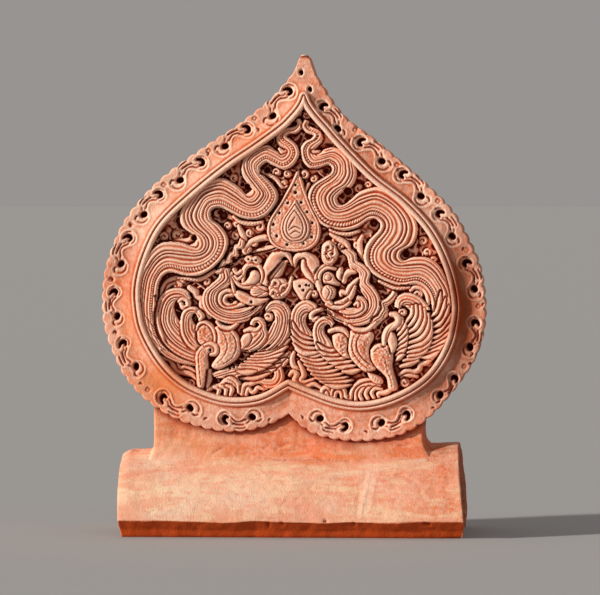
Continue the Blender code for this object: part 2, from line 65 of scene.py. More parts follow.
# Guards against division by nothing, and the whole numbers that the noise keeps.
TINY = 1e-9
LEAST_LENGTH = 1e-12
WORD = 0xFFFFFFFF
# Steps round a stroke that it may still change, and the least half-width of a stroke.
MARGIN = 3.0
LEAST_HALF = 0.05
# How finely a bundle is sampled along and across each strand, and its beads' pitch and depth.
BUNDLE_PIECES = 36
STRAND_SAMPLES = 14
BEAD_PITCH = 2.6
BEAD_DEPTH = 2.4
# Fall of a bud's bed under its spiral, and widths along a spiral and a feather as shares of their size.
BUD_DEPTH = 4.0
SPIRAL_WIDTHS = (0.16, 0.24, 0.28)
FEATHER_WIDTHS = (0.3, 1.0, 1.25, 0.9, 0.2)
# Steps from a rosette's middle to each point of its spiral.
ROSETTE_REACHES = (3.0, 2.6, 2.2, 1.8, 1.4, 1.0)
# Millimetres under the wide and the near average that count as full dirt and painted shade, and how much of
# the sinking stays free of it.
DIRT_WIDE = 7.5
DIRT_NEAR = 2.4
DIRT_START = 0.18
# Millimetres under the near average that count as full red painted shade in a groove, and the most of it
# that shows.
RUST_DEPTH = 1.4
RUST_MOST = 0.6

Point = tuple[float, float]
Line = list[Point]
Guide = list[tuple[float, float, float, float]]
Levels = tuple[float, ...] | float
Array = np.ndarray
Window = tuple[slice, slice]
Tree = bpy.types.NodeTree
Socket = bpy.types.NodeSocket


class Tool(Enum):
    """What a stroke does to the clay."""

    RAISE = "a rounded ridge that stands up from its ground"
    SCORE = "a round groove scored into what is there"
    PIERCE = "a steep hole driven down from the face"


class Side(Enum):
    """Which face of the leaf a surface lies on, as a sign along Y."""

    FRONT = -1.0
    BACK = 1.0


def smooth_line(points: Sequence[Point], pieces: int = 6) -> Array:
    """Draws a Catmull-Rom curve through points.

    Args:
        points: Places on the sheet, in order.
        pieces: Pieces between each two points.

    Returns:
        The curve's points, one row each.
    """
    known = np.asarray(points, float)
    ends = np.vstack((2 * known[0] - known[1], known, 2 * known[-1] - known[-2]))
    t = (np.arange(pieces) / pieces)[:, None]
    parts = []
    for k in range(1, len(ends) - 2):
        before, here, there, after = ends[k - 1:k + 3]
        parts.append(0.5 * (2 * here + t * (there - before)
                            + t * t * (2 * before - 5 * here + 4 * there - after)
                            + t ** 3 * (3 * here - before - 3 * there + after)))
    return np.vstack(parts + [known[-1:]])


def lengths_along(line: Array) -> Array:
    """Length from a line's start to each of its points."""
    return np.concatenate(([0.0], np.cumsum(np.hypot(*np.diff(line, axis=0).T))))


def even_line(line: Array, count: int) -> Array:
    """Points at even distances along a line.

    Args:
        line: The line's points.
        count: How many points are wanted, both ends among them.

    Returns:
        The even points, one row each.
    """
    along = lengths_along(line)
    wanted = np.linspace(0.0, along[-1], count)
    return np.stack((np.interp(wanted, along, line[:, 0]), np.interp(wanted, along, line[:, 1])), axis=1)


def spread(values: Levels, share: Array) -> Array:
    """Values that lie evenly along a line, read at shares of its length."""
    known = np.atleast_1d(values)
    return np.interp(share, np.linspace(0, 1, len(known)), known)


def dot(x: float, y: float) -> Line:
    """A line so short that a stroke along it is round."""
    return [(x - 0.01, y), (x + 0.01, y)]


def outward_normals(line: Array, centre: Point) -> Array:
    """Unit vectors across a line that point away from a centre.

    Args:
        line: The line's points.
        centre: The place that the vectors point away from.

    Returns:
        One unit vector for each point.
    """
    along = np.gradient(line, axis=0)
    across = np.stack((along[:, 1], -along[:, 0]), axis=1)
    across /= np.hypot(across[:, 0], across[:, 1])[:, None]
    away = np.sum(across * (line - np.asarray(centre)), axis=1)
    return across * np.where(away < 0, -1.0, 1.0)[:, None]


def inside(line: Array, columns: Array, rows: Array) -> Array:
    """Tells which places lie inside a closed line, by the even-odd rule.

    Args:
        line: The closed line's points.
        columns: Places to the right, any shape.
        rows: Places down, the same shape.

    Returns:
        True where a place is inside.
    """
    found = np.zeros(columns.shape, bool)
    for a, b in zip(line, np.roll(line, -1, axis=0)):
        if a[1] == b[1]:
            continue
        crosses = (a[1] > rows) != (b[1] > rows)
        found ^= crosses & (columns < (b[0] - a[0]) * (rows - a[1]) / (b[1] - a[1]) + a[0])
    return found


def clay_noise(x: Array, y: Array, z: Array, seed: int = 0) -> Array:
    """Smooth seeded value noise, the same on every run.

    Args:
        x: First coordinate, in noise cells.
        y: Second coordinate.
        z: Third coordinate.
        seed: Number that picks the pattern.

    Returns:
        Values between -1 and 1.
    """
    low = [np.floor(c).astype(np.int64) for c in (x, y, z)]
    soft = [(c - floor) ** 2 * (3 - 2 * (c - floor)) for c, floor in zip((x, y, z), low)]
    total = np.zeros(np.broadcast(x, y, z).shape)
    for i, j, k in np.ndindex(2, 2, 2):
        key = ((low[0] + i) * 73856093) ^ ((low[1] + j) * 19349663) ^ ((low[2] + k) * 83492791)
        key = (key ^ (seed * 2654435761)) & WORD
        key = ((key ^ (key >> 15)) * 2246822519) & WORD
        key = ((key ^ (key >> 13)) * 3266489917) & WORD
        value = ((key ^ (key >> 16)) & 0xFFFF) / 32767.5 - 1.0
        weight = (soft[0] if i else 1 - soft[0]) * (soft[1] if j else 1 - soft[1])
        total += value * weight * (soft[2] if k else 1 - soft[2])
    return total


def blurred(values: Array, reach: int) -> Array:
    """Box blur of a grid by running sums.

    Args:
        values: The grid.
        reach: Cells to each side.

    Returns:
        The blurred grid, of the same shape.
    """
    for axis in (0, 1):
        values = np.moveaxis(values, axis, 0)
        before = np.repeat(values[:1], reach + 1, 0)
        after = np.repeat(values[-1:], reach, 0)
        sums = np.cumsum(np.concatenate((before, values, after)), axis=0)
        values = np.moveaxis((sums[2 * reach + 1:] - sums[:-2 * reach - 1]) / (2 * reach + 1), 0, axis)
    return values


@dataclass(frozen=True)
class Sheet:
    """The layout sheet, and where it lies on the leaf; its step follows the part's height."""

    height: float
    tip: Point = (303.0, 54.0)
    cusp: Point = (290.0, 416.0)
    centre: Point = (290.0, 270.0)
    ground_row: float = 534.53
    middle: float = 293.55
    foot_half: float = 0.068
    tip_half: float = 0.036

    @property
    def step(self) -> float:
        """Length of one step of the sheet."""
        return self.height / (self.ground_row - self.tip[1])

    def half_thickness(self, rows: Array) -> Array:
        """Half the leaf's thickness at rows of the sheet, thinner towards the tip."""
        share = (self.cusp[1] - rows) / (self.cusp[1] - self.tip[1])
        return self.foot_half + share * (self.tip_half - self.foot_half)

    def read(self, points: Array) -> tuple[Array, Array]:
        """Columns and rows of the sheet at points of the part, which lie in the last axis."""
        return points[..., 0] / self.step + self.middle, self.ground_row - points[..., 2] / self.step

    def place(self, columns: Array, rows: Array, heights: Array | float, side: Side) -> Array:
        """Puts places of the sheet on a face of the leaf.

        Args:
            columns: Steps to the right.
            rows: Steps down.
            heights: Millimetres over the face.
            side: The face.

        Returns:
            Points in the part's frame, in the last axis.
        """
        x = (columns - self.middle) * self.step
        y = side.value * (self.half_thickness(rows) + heights * MILLIMETRE)
        z = (self.ground_row - rows) * self.step
        return np.stack(np.broadcast_arrays(x, y, z), axis=-1)


@dataclass
class Relief:
    """A carved surface over a part of the sheet, as heights on an even grid."""

    left: float
    top: float
    right: float
    bottom: float
    ground: float
    cell: float = 0.64
    wall: float = 9.0
    hole_wall: float = 22.0
    rope_slant: float = 0.8
    rope_depth: float = 0.9
    heights: Array = field(init=False)

    def __post_init__(self) -> None:
        """Lays the flat ground."""
        down = round((self.bottom - self.top) / self.cell) + 1
        across = round((self.right - self.left) / self.cell) + 1
        self.heights = np.full((down, across), self.ground)

    @property
    def columns(self) -> Array:
        """Steps to the right of each column of the grid."""
        return self.left + self.cell * np.arange(self.heights.shape[1])

    @property
    def rows(self) -> Array:
        """Steps down of each row of the grid."""
        return self.top + self.cell * np.arange(self.heights.shape[0])

    def window(self, line: Array, reach: float = MARGIN) -> Optional[Window]:
        """Part of the grid that lies round a line.

        Args:
            line: The line's points.
            reach: Steps round the line.

        Returns:
            Slices of rows and columns, or nothing where the line is off the grid.
        """
        low = (line.min(axis=0) - reach - (self.left, self.top)) / self.cell
        high = (line.max(axis=0) + reach - (self.left, self.top)) / self.cell
        first_column, first_row = np.maximum(np.floor(low).astype(int), 0)
        last_column, last_row = np.ceil(high).astype(int) + 1
        if last_row <= first_row or last_column <= first_column:
            return None
        rows = slice(first_row, min(last_row, self.heights.shape[0]))
        return rows, slice(first_column, min(last_column, self.heights.shape[1]))

    def follow(self, line: Array, window: Window) -> tuple[Array, Array, Array]:
        """Measures the grid against a line.

        Args:
            line: The line's points.
            window: The part of the grid to measure.

        Returns:
            Distance from the line, share along it, and the side as a sign.
        """
        ys = self.rows[window[0]][:, None]
        xs = self.columns[window[1]][None, :]
        along = lengths_along(line)
        best = np.full((ys.shape[0], xs.shape[1]), np.inf)
        share = np.zeros(best.shape)
        side = np.ones(best.shape)
        for k in range(len(line) - 1):
            dx, dy = line[k + 1] - line[k]
            square = max(dx * dx + dy * dy, TINY)
            ex = xs - line[k, 0]
            ey = ys - line[k, 1]
            t = np.clip((ex * dx + ey * dy) / square, 0.0, 1.0)
            distance = (ex - t * dx) ** 2 + (ey - t * dy) ** 2
            near = distance < best
            best = np.where(near, distance, best)
            share = np.where(near, (along[k] + t * (along[k + 1] - along[k])) / max(along[-1], TINY), share)
            side = np.where(near, np.sign(dx * ey - dy * ex), side)
        return np.sqrt(best), share, side

    def gaps(self, ring: Array, window: Window) -> tuple[Array, Array, Array]:
        """Measures the grid against a closed line.

        Args:
            ring: The closed line's points.
            window: The part of the grid to measure.

        Returns:
            Steps outside the line, negative inside it, and the grid's columns and rows.
        """
        columns, rows = np.meshgrid(self.columns[window[1]], self.rows[window[0]])
        distance = self.follow(ring, window)[0]
        return np.where(inside(ring, columns, rows), -distance, distance), columns, rows

    def stroke(self, points: Sequence[Point], half: Sequence[float], level: Levels, tool: Tool = Tool.RAISE,
               drop: float = 2.0, tilt: float = 0.0, twist: float = 0.0, moat: float = 3.0) -> None:
        """Works one stroke of a tool along a smooth line.

        Args:
            points: Places that the line runs through.
            half: Half-widths in steps, spread evenly along the line.
            level: Height of a ridge's crest or a hole's floor, or a groove's depth, spread in the same way.
            tool: What the stroke does.
            drop: How far a ridge falls from its crest to its edge.
            tilt: How much higher its left edge is than its crest.
            twist: Pitch in steps of a rope's twist, or 0 for a plain ridge.
            moat: Depth of the cut that frees a ridge from what lies round it.
        """
        line = smooth_line(points) if len(points) > 2 else np.asarray(points, float)
        window = self.window(line, max(half) + MARGIN)
        if window is None:
            return
        distance, share, side = self.follow(line, window)
        widths = spread(half, share)
        levels = spread(level, share)
        across = distance / np.maximum(widths, LEAST_HALF)
        ground = self.heights[window]
        if tool is Tool.SCORE:
            ground -= levels * np.clip(1.0 - across ** 2, 0.0, None)
            return
        outside = np.clip(distance - widths, 0.0, None)
        if tool is Tool.PIERCE:
            np.minimum(ground, levels + self.hole_wall * outside, out=ground)
            return
        # A raised form presses the ground down round itself, then stands in its own moat.
        self.press(ground, distance - widths, levels - 0.5 * drop, moat)
        form = levels - 1.2 * drop * np.minimum(across, 1.0) ** 1.8 + tilt * np.minimum(across, 1.0) * side
        if twist:
            run = share * lengths_along(line)[-1] + self.rope_slant * side * distance
            form -= self.rope_depth * (0.5 + 0.5 * np.cos(2 * math.pi * run / twist)) ** 2
        form -= self.wall * outside
        np.maximum(ground, form, out=ground)

    @staticmethod
    def press(ground: Array, gap: Array, level: Array | float, depth: float, reach: float = 1.7) -> None:
        """Cuts the ground back round a form, so that its outline reads dark.

        Args:
            ground: Heights to cut, changed in place.
            gap: Steps outside the form's outline, negative inside it.
            level: Height of the form's edge.
            depth: Depth of the cut at the outline.
            reach: Width of the cut in steps.
        """
        cut = level - depth * np.clip(1.0 - gap / reach, 0.0, 1.0)
        near = gap < reach
        ground[near] = np.minimum(ground, cut)[near]

    def moulding(self, ring: Array, profile: Line, slope: Line) -> None:
        """Runs a moulding along a closed line, and lets the ground fall away outside it.

        Args:
            ring: The line's points.
            profile: Its section as steps outside the line and heights, from inside to outside.
            slope: Steps outside the line, and what is added to the ground there.
        """
        window = self.window(ring, 40.0)
        gap = self.gaps(ring, window)[0]
        ground = self.heights[window]
        ground += np.interp(gap, *zip(*slope))
        places, levels = zip(*profile)
        ground[:] = np.where(gap < places[-1], np.interp(gap, places, levels), ground)

    def lay(self, columns: Array, rows: Array, heights: Array) -> None:
        """Spreads loose samples of a raised form over the grid, and keeps the higher surface.

        Args:
            columns: Steps to the right of the samples.
            rows: Steps down of the samples.
            heights: Heights of the samples.
        """
        u = (columns - self.left) / self.cell
        v = (rows - self.top) / self.cell
        iu = np.floor(u).astype(int)
        iv = np.floor(v).astype(int)
        down, right = self.heights.shape
        weights = np.zeros(down * right)
        sums = np.zeros(down * right)
        for i, j in np.ndindex(2, 2):
            w = (1 - np.abs(v - iv - i)) * (1 - np.abs(u - iu - j))
            index = np.clip(iv + i, 0, down - 1) * right + np.clip(iu + j, 0, right - 1)
            weights += np.bincount(index, w, len(weights))
            sums += np.bincount(index, w * heights, len(sums))
        touched = weights > 0.15
        form = np.full(len(weights), -np.inf)
        form[touched] = sums[touched] / weights[touched]
        np.maximum(self.heights, form.reshape(down, right), out=self.heights)

    def roughen(self, size: float, amount: float, seed: int) -> None:
        """Adds the unevenness of hand-worked clay.

        Args:
            size: Size of the bumps in steps.
            amount: Their height in millimetres.
            seed: Number that picks the pattern.
        """
        noise = clay_noise(self.columns[None, :] / size, self.rows[:, None] / size, np.zeros((1, 1)), seed)
        self.heights += amount * noise

    def soften(self) -> None:
        """Rounds the cuts a little, as a wet finger does."""
        for axis in (0, 1):
            beside = np.roll(self.heights, 1, axis) + np.roll(self.heights, -1, axis)
            self.heights = 0.5 * self.heights + 0.25 * beside

    def tracery(self, size: float, crest: float, depth: float, seed: int) -> None:
        """Covers the ground with a maze of small tendrils.

        Args:
            size: Size of the maze's turns in steps.
            crest: Height of the tendrils.
            depth: How far their sides fall before they meet the ground.
            seed: Number that picks the pattern.
        """
        columns, rows = np.meshgrid(self.columns, self.rows)
        bend = 2.5 * clay_noise(columns / 9.0, rows / 9.0, np.zeros((1, 1)), seed + 1)
        slant = 0.8 * columns + 0.6 * rows + bend
        counter = 0.8 * rows - 0.6 * columns - bend
        first = np.abs(clay_noise(slant / size, counter / size, np.zeros((1, 1)), seed))
        crossed = np.abs(clay_noise(counter / size, slant / size, np.ones((1, 1)), seed + 2))
        ridge = np.clip(1 - np.minimum(first, crossed + 0.08) / 0.42, 0, 1)
        np.maximum(self.heights, crest - depth * (1 - ridge) ** 1.5, out=self.heights)

    def sample(self, columns: Array, rows: Array, values: Array) -> Array:
        """Reads a grid of values between its points.

        Args:
            columns: Steps to the right.
            rows: Steps down.
            values: A grid of this relief's shape.

        Returns:
            One value for each place.
        """
        u = np.clip((columns - self.left) / self.cell, 0, values.shape[1] - 1.001)
        v = np.clip((rows - self.top) / self.cell, 0, values.shape[0] - 1.001)
        iu = u.astype(int)
        iv = v.astype(int)
        fu = u - iu
        upper = values[iv, iu] * (1 - fu) + values[iv, iu + 1] * fu
        lower = values[iv + 1, iu] * (1 - fu) + values[iv + 1, iu + 1] * fu
        return upper * (1 - (v - iv)) + lower * (v - iv)

    def masks(self, paleness: float = 0.0) -> dict[str, Array]:
        """Where the clay is painted pale on crests as wear and highlight, red in grooves as painted shade,
        and dark in the deep as dirt and painted shade.

        Args:
            paleness: Wear of the flat parts.

        Returns:
            One grid of values for each mask.
        """
        near = blurred(blurred(self.heights, 2), 2)
        wide = blurred(blurred(self.heights, 5), 5)
        # Sunk places are painted dark, as dirt and as shade.
        sunk = (wide - self.heights) / DIRT_WIDE + (near - self.heights) / DIRT_NEAR
        return {
            # Crests are painted pale, as wear and as highlight.
            "worn": np.clip(paleness + (self.heights - near), 0, 1),
            "deep": np.clip(sunk - DIRT_START, 0, 1),
            # Grooves are painted red, as shade.
            "rust": np.clip((near - self.heights) / RUST_DEPTH, 0, RUST_MOST),
        }


@dataclass(frozen=True)
class Bundle:
    """A lock of hair or a train of tail feathers, in strands between two guide lines.

    Args:
        guide: Places on the first guide line, each with its partner on the second.
        strands: Number of strands.
        level: Height of the crests, spread evenly along the bundle.
        groove: Depth between strands.
        crown: How much the bundle's middle stands over its edges.
        beaded: Number of the strand that is a row of beads, or -1.
        edge: How far the first guide line's side lies under the other.
        ragged: Length over which the strands' tips come apart at the end.
        thinnest: Width in steps of the thinnest strand.
    """

    guide: Guide
    strands: int
    level: Levels
    groove: float = 2.4
    crown: float = 1.2
    beaded: int = -1
    edge: float = 0.0
    ragged: float = 0.0
    thinnest: float = 2.9

    def work(self, relief: Relief) -> None:
        """Lays it on a relief.

        Args:
            relief: The surface to work on.
        """
        first = smooth_line([places[:2] for places in self.guide], BUNDLE_PIECES)
        second = smooth_line([places[2:] for places in self.guide], BUNDLE_PIECES)
        across = np.linspace(0.0, 1.0, STRAND_SAMPLES * self.strands + 1)[None, :]
        run = lengths_along((first + second) / 2)[:, None]
        width = np.hypot(*(second - first).T)[:, None]
        # The strands wander a little, no two cuts between them are as deep, and each has its own height.
        part = across * np.minimum(width / self.thinnest, self.strands)
        part = part + 0.16 * np.sin(2.1 * part + 0.02 * run + len(self.guide))
        strand = np.floor(part)
        ridge = np.abs(2 * (part - strand) - 1)
        ridge[:, -1] = 1.0
        cut = 0.85 + 0.35 * np.sin(5.1 * np.round(part) + len(self.guide))
        uneven = 0.7 * np.sin(7.3 * strand + len(self.guide))
        uneven += 0.5 * clay_noise(run / 14.0, strand, strand, self.strands)
        heights = spread(self.level, run / run[-1])
        heights = heights + self.crown * (1 - (2 * across - 1) ** 2) - self.edge * (1 - across) + uneven
        heights = heights - 1.75 * self.groove * cut * ridge ** 1.6
        heights = heights - 2.0 * np.clip(1 - (1 - across) * width / 1.3, 0, 1) ** 2
        # Near a ragged end the cuts deepen, and each strand stops at its own place.
        if self.ragged:
            tips = run[-1] - self.ragged * (0.5 + 0.5 * np.sin(2.4 * strand + 1.0))
            parting = np.clip((run - tips) / self.ragged + 1.0, 0, 1)
            heights = heights - 9.0 * np.clip((run - tips) / 1.6, 0, 1) ** 1.5
            heights = heights - 2.2 * self.groove * ridge ** 2 * parting ** 2
        if self.beaded >= 0:
            beads = (strand == self.beaded) * (0.5 + 0.5 * np.cos(2 * math.pi * run / BEAD_PITCH)) ** 1.5
            heights = heights - BEAD_DEPTH * beads
        # The ground is pressed down along both guide lines before the strands are laid.
        for line in (first[::6], second[::6]):
            window = relief.window(line)
            gap = relief.follow(line, window)[0]
            relief.press(relief.heights[window], gap, float(np.mean(self.level)) - self.groove, 3.0)
        places = first[:, None, :] * (1 - across[..., None]) + second[:, None, :] * across[..., None]
        relief.lay(places[..., 0].ravel(), places[..., 1].ravel(), heights.ravel())


@dataclass(frozen=True)
class Fan:
    """Wing feathers side by side, each over the last.

    Args:
        starts: Line along the feathers' roots.
        middles: Line along their middles.
        ends: Line along their tips.
        count: Number of feathers.
        half: Half-width of a feather in steps.
        level: Height of their crests.
        tilt: How much one edge of a feather stands over the other.
    """

    starts: Line
    middles: Line
    ends: Line
    count: int
    half: float
    level: float
    tilt: float = 0.7

    def work(self, relief: Relief) -> None:
        """Lays it on a relief.

        Args:
            relief: The surface to work on.
        """
        rows = [even_line(smooth_line(line), self.count) for line in (self.starts, self.middles, self.ends)]
        for root, middle, tip in zip(*rows):
            bowed = middle + 0.05 * np.array((-(tip - root)[1], (tip - root)[0])) * np.sign(self.tilt)
            widths = [share * self.half for share in FEATHER_WIDTHS]
            relief.stroke([root, bowed, tip], widths, (self.level, self.level, self.level - 1.0), drop=2.6,
                          tilt=self.tilt, moat=4.0)


@dataclass(frozen=True)
class Pad:
    """A smooth swelling form inside a closed outline.

    Args:
        outline: Places round the pad.
        level: Height of its edge.
        dome: How far its middle swells over its edge.
        grain: Height of the scaly skin on it.
        bevel: Width of its rounded edge in steps.
        fall: How far the rounded edge falls.
    """

    outline: Line
    level: float
    dome: float = 1.5
    grain: float = 0.0
    bevel: float = 1.8
    fall: float = 2.4

    def work(self, relief: Relief) -> None:
        """Raises it on a relief.

        Args:
            relief: The surface to work on.
        """
        ring = smooth_line(self.outline + self.outline[:1])
        window = relief.window(ring)
        gap, columns, rows = relief.gaps(ring, window)
        ground = relief.heights[window]
        relief.press(ground, gap, self.level - 1.0, 3.0)
        distance = np.abs(gap)
        share = np.clip(distance / -gap.min(), 0, 1)
        edge = self.fall * np.clip(1 - distance / self.bevel, 0, 1) ** 2
        form = self.level + self.dome * (1 - (1 - share) ** 2) - edge
        form += self.grain * clay_noise(columns / 1.7, rows / 1.5, np.zeros((1, 1)), 61)
        foot = self.level - self.fall - relief.wall * distance
        np.maximum(ground, np.where(gap < 0, form, foot), out=ground)


@dataclass(frozen=True)
class Ridge:
    """A rounded ridge along a line; with a twist it is a rope."""

    points: Line
    half: tuple[float, ...]
    level: float
    drop: float = 1.8
    twist: float = 0.0

    def work(self, relief: Relief) -> None:
        """Raises it on a relief."""
        relief.stroke(self.points, self.half, self.level, drop=self.drop, twist=self.twist)


@dataclass(frozen=True)
class Cut:
    """A scored line, finer at both ends."""

    points: Line
    half: float = 1.0
    depth: float = 2.0

    def work(self, relief: Relief) -> None:
        """Scores it into a relief."""
        relief.stroke(self.points, (0.6 * self.half, self.half, 0.6 * self.half), self.depth, Tool.SCORE)


@dataclass(frozen=True)
class Pit:
    """A drilled or pierced hole."""

    x: float
    y: float
    radius: float = 1.6
    floor: float = -12.0

    def work(self, relief: Relief) -> None:
        """Drills it into a relief."""
        relief.stroke(dot(self.x, self.y), (self.radius, self.radius), self.floor, Tool.PIERCE)


@dataclass(frozen=True)
class Curl:
    """A curled bud: a spiral ridge round a drilled eye.

    Args:
        x: Its middle, steps to the right.
        y: Its middle, steps down.
        radius: Its radius in steps.
        level: Height of its crest.
        turns: Turns of the spiral.
        start: Angle in degrees where the spiral begins at the outside.
        hand: 1 to turn right on the sheet, -1 to turn left.
    """

    x: float
    y: float
    radius: float
    level: float
    turns: float = 0.9
    start: float = 0.0
    hand: float = 1.0

    def work(self, relief: Relief) -> None:
        """Raises it on a relief.

        Args:
            relief: The surface to work on.
        """
        share = np.linspace(0.0, 1.0, max(int(12 * self.turns), 8))
        angle = math.radians(self.start) + self.hand * 2 * math.pi * self.turns * share
        reach = self.radius * (0.80 - 0.52 * share)
        line = np.stack((self.x + reach * np.cos(angle), self.y + reach * np.sin(angle)), axis=1)
        bed = 0.9 * self.radius
        relief.stroke(dot(self.x, self.y), (bed, bed), self.level - BUD_DEPTH, drop=1.8)
        widths = [share * self.radius for share in SPIRAL_WIDTHS]
        relief.stroke(line, widths, self.level, drop=1.4, moat=3.6)


Mark = Bundle | Fan | Pad | Ridge | Cut | Pit | Curl


@dataclass
class Skin:
    """Points, faces, normals and painted values of one piece, gathered before its mesh is made."""

    points: Array
    quads: Array
    normals: Array
    values: dict[str, Array]
    caps: list[Array] = field(default_factory=list)

    def piece(self, name: str, material: bpy.types.Material) -> bpy.types.Object:
        """Makes the piece and ties it to the part.

        Args:
            name: The piece's name.
            material: Its finish.

        Returns:
            The new object.
        """
        mesh = bpy.data.meshes.new(name)
        corners = np.concatenate([self.quads.ravel(), *self.caps]).astype(np.int32)
        sizes = [4] * len(self.quads) + [len(cap) for cap in self.caps]
        starts = np.concatenate(([0], np.cumsum(sizes)[:-1])).astype(np.int32)
        mesh.vertices.add(len(self.points))
        mesh.vertices.foreach_set("co", self.points.astype(np.float32).ravel())
        mesh.loops.add(len(corners))
        mesh.loops.foreach_set("vertex_index", corners)
        mesh.polygons.add(len(starts))
        mesh.polygons.foreach_set("loop_start", starts)
        mesh.update(calc_edges=True)
        mesh.polygons.foreach_set("use_smooth", np.ones(len(starts), bool))
        for key, values in self.values.items():
            layer = mesh.attributes.new(key, "FLOAT", "POINT")
            layer.data.foreach_set("value", np.asarray(values, np.float32).ravel())
        mesh.normals_split_custom_set_from_vertices(self.normals.tolist())
        mesh.materials.append(material)
        obj = bpy.data.objects.new(name, mesh)
        bpy.context.scene.collection.objects.link(obj)
        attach(obj, "root")
        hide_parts(NODE)
        count = sum(size - 2 for size in sizes)
        LOG.info("%s: %d triangles", name, count)
        return obj


def lattice_normals(points: Array) -> Array:
    """Unit normals of a lattice of points, across its first and second axes.

    Args:
        points: Points in the last axis of a lattice of rows and columns.

    Returns:
        The normals, of the same shape.
    """
    down = np.gradient(points, axis=0)
    right = np.gradient(points, axis=1)
    normals = np.cross(down, right)
    return normals / np.maximum(np.linalg.norm(normals, axis=-1, keepdims=True), LEAST_LENGTH)


def ring_of(edges: dict[int, int]) -> Array:
    """Chains directed edges into the longest closed ring.

    Args:
        edges: Next point for each point.

    Returns:
        The ring's points in order.
    """
    left = dict(edges)
    longest: list[int] = []
    while left:
        start, after = next(iter(left.items()))
        ring = [start]
        del left[start]
        while after != start and after in left:
            ring.append(after)
            after = left.pop(after)
        if len(ring) > len(longest):
            longest = ring
    return np.array(longest)


def surface_normals(points: Array, quads: Array) -> Array:
    """Unit normals at the points of a closed surface of quads.

    Args:
        points: The surface's points.
        quads: Its faces, counter-clockwise from outside.

    Returns:
        One normal for each point.
    """
    a, b, c, d = (points[quads[:, k]] for k in range(4))
    face = np.cross(c - a, d - b)
    sums = np.zeros(points.shape)
    for corner in range(4):
        for axis in range(3):
            sums[:, axis] += np.bincount(quads[:, corner], face[:, axis], len(points))
    return sums / np.maximum(np.linalg.norm(sums, axis=1, keepdims=True), LEAST_LENGTH)


@dataclass(frozen=True)
class Block:
    """A closed block with rounded edges and even cells, before it is bent into its shape."""

    size: tuple[float, float, float]
    cell: float
    rounding: float

    def surface(self) -> tuple[Array, Array]:
        """Lays the block's surface round its middle.

        Returns:
            Points, one row each, and faces that look outward.
        """
        size = np.asarray(self.size)
        counts = np.maximum(np.round(size / self.cell).astype(int), 2)
        faces = []
        for axis in range(3):
            first, second = [k for k in range(3) if k != axis]
            grid = np.indices((counts[first] + 1, counts[second] + 1))
            for end in (0, counts[axis]):
                place = np.zeros((3, *grid.shape[1:]), int)
                place[axis] = end
                place[first], place[second] = grid
                key = np.ravel_multi_index(tuple(place), tuple(counts + 1))
                quad = np.stack((key[:-1, :-1], key[1:, :-1], key[1:, 1:], key[:-1, 1:]), -1).reshape(-1, 4)
                outward = (end > 0) == (axis != 1)
                faces.append(quad if outward else quad[:, ::-1])
        keys, quads = np.unique(np.concatenate(faces), return_inverse=True)
        points = np.stack(np.unravel_index(keys, tuple(counts + 1)), 1) / counts * size - size / 2
        core = np.clip(points, self.rounding - size / 2, size / 2 - self.rounding)
        out = points - core
        out /= np.maximum(np.linalg.norm(out, axis=1, keepdims=True), LEAST_LENGTH)
        return core + self.rounding * out, quads.reshape(-1, 4)


# Height in metres of the clay's bumps by their size in metres.
FACE_BUMPS = {0.09: 0.0014, 0.028: 0.0007, 0.009: 0.0004}
CUT_BUMPS = {0.03: 0.0012, 0.008: 0.0005}
NECK_BUMPS = {0.06: 0.0012, 0.02: 0.0007, 0.007: 0.0005}


def weathered(points: Array, normals: Array, amounts: dict[float, float], seed: int) -> Array:
    """Moves points in and out, as hand-worked and weathered clay is uneven.

    Args:
        points: Points in metres.
        normals: Their normals.
        amounts: Height in metres of bumps by their size in metres.
        seed: Number that picks the pattern.

    Returns:
        The moved points.
    """
    shift = np.zeros(len(points))
    for size, amount in amounts.items():
        x, y, z = (points / size).T
        shift += amount * clay_noise(x, y, z, seed)
    return points + normals * shift[:, None]


# Left, top, right and bottom on the sheet, then the leaf's edge and rim from the tip to the cusp.
FIELD_BOX = (118.0, 92.0, 474.0, 420.0)
LEAF_BOX = (90.0, 46.0, 500.0, 448.0)
LEAF_LEFT: Line = [
    (303.5, 54.5), (300, 55.6), (297.4, 61), (290.5, 75.5), (270, 99), (240, 123), (204, 147), (170, 171),
    (144, 195), (121, 226), (105.5, 266), (102, 299), (104, 326), (113, 353), (126, 378), (149, 402),
    (180, 420), (218, 430), (250, 429.5), (275, 421.5), (289.5, 413.5),
]
LEAF_RIGHT: Line = [
    (303.5, 54.5), (307.3, 55.6), (309.8, 61), (317.5, 80), (342, 115), (372, 138), (402, 163), (430, 188),
    (452, 211), (467, 237), (480, 268), (485, 304), (483, 333), (474, 360), (455, 388), (430, 416),
    (404, 432.5), (375, 439), (346, 439.5), (318, 434), (302, 425), (289.5, 413.5),
]
RIM_LEFT: Line = [
    (303.5, 96.5), (301, 103), (296.5, 110), (289, 118.5), (279.5, 127.5), (254, 146), (226, 165),
    (189.5, 194.5), (160, 223.5), (144.5, 253.5), (136.2, 285.5), (137.6, 314), (144.2, 336), (159.7, 362),
    (178.8, 381.3), (201.5, 393.7), (229.5, 401.3), (260.5, 398.5), (289, 383.5),
]
RIM_RIGHT: Line = [
    (303.5, 96.5), (306, 103), (310.5, 110), (316.5, 117.5), (326, 128), (338.5, 142.5), (371.8, 176.5),
    (405, 202.5), (431, 231.7), (448.5, 267.5), (456.3, 302.3), (453.4, 331.2), (445.6, 353), (431.4, 374),
    (412.5, 389), (387.5, 400.5), (362, 405.3), (336.8, 402), (310.8, 392.6), (289, 383.5),
]

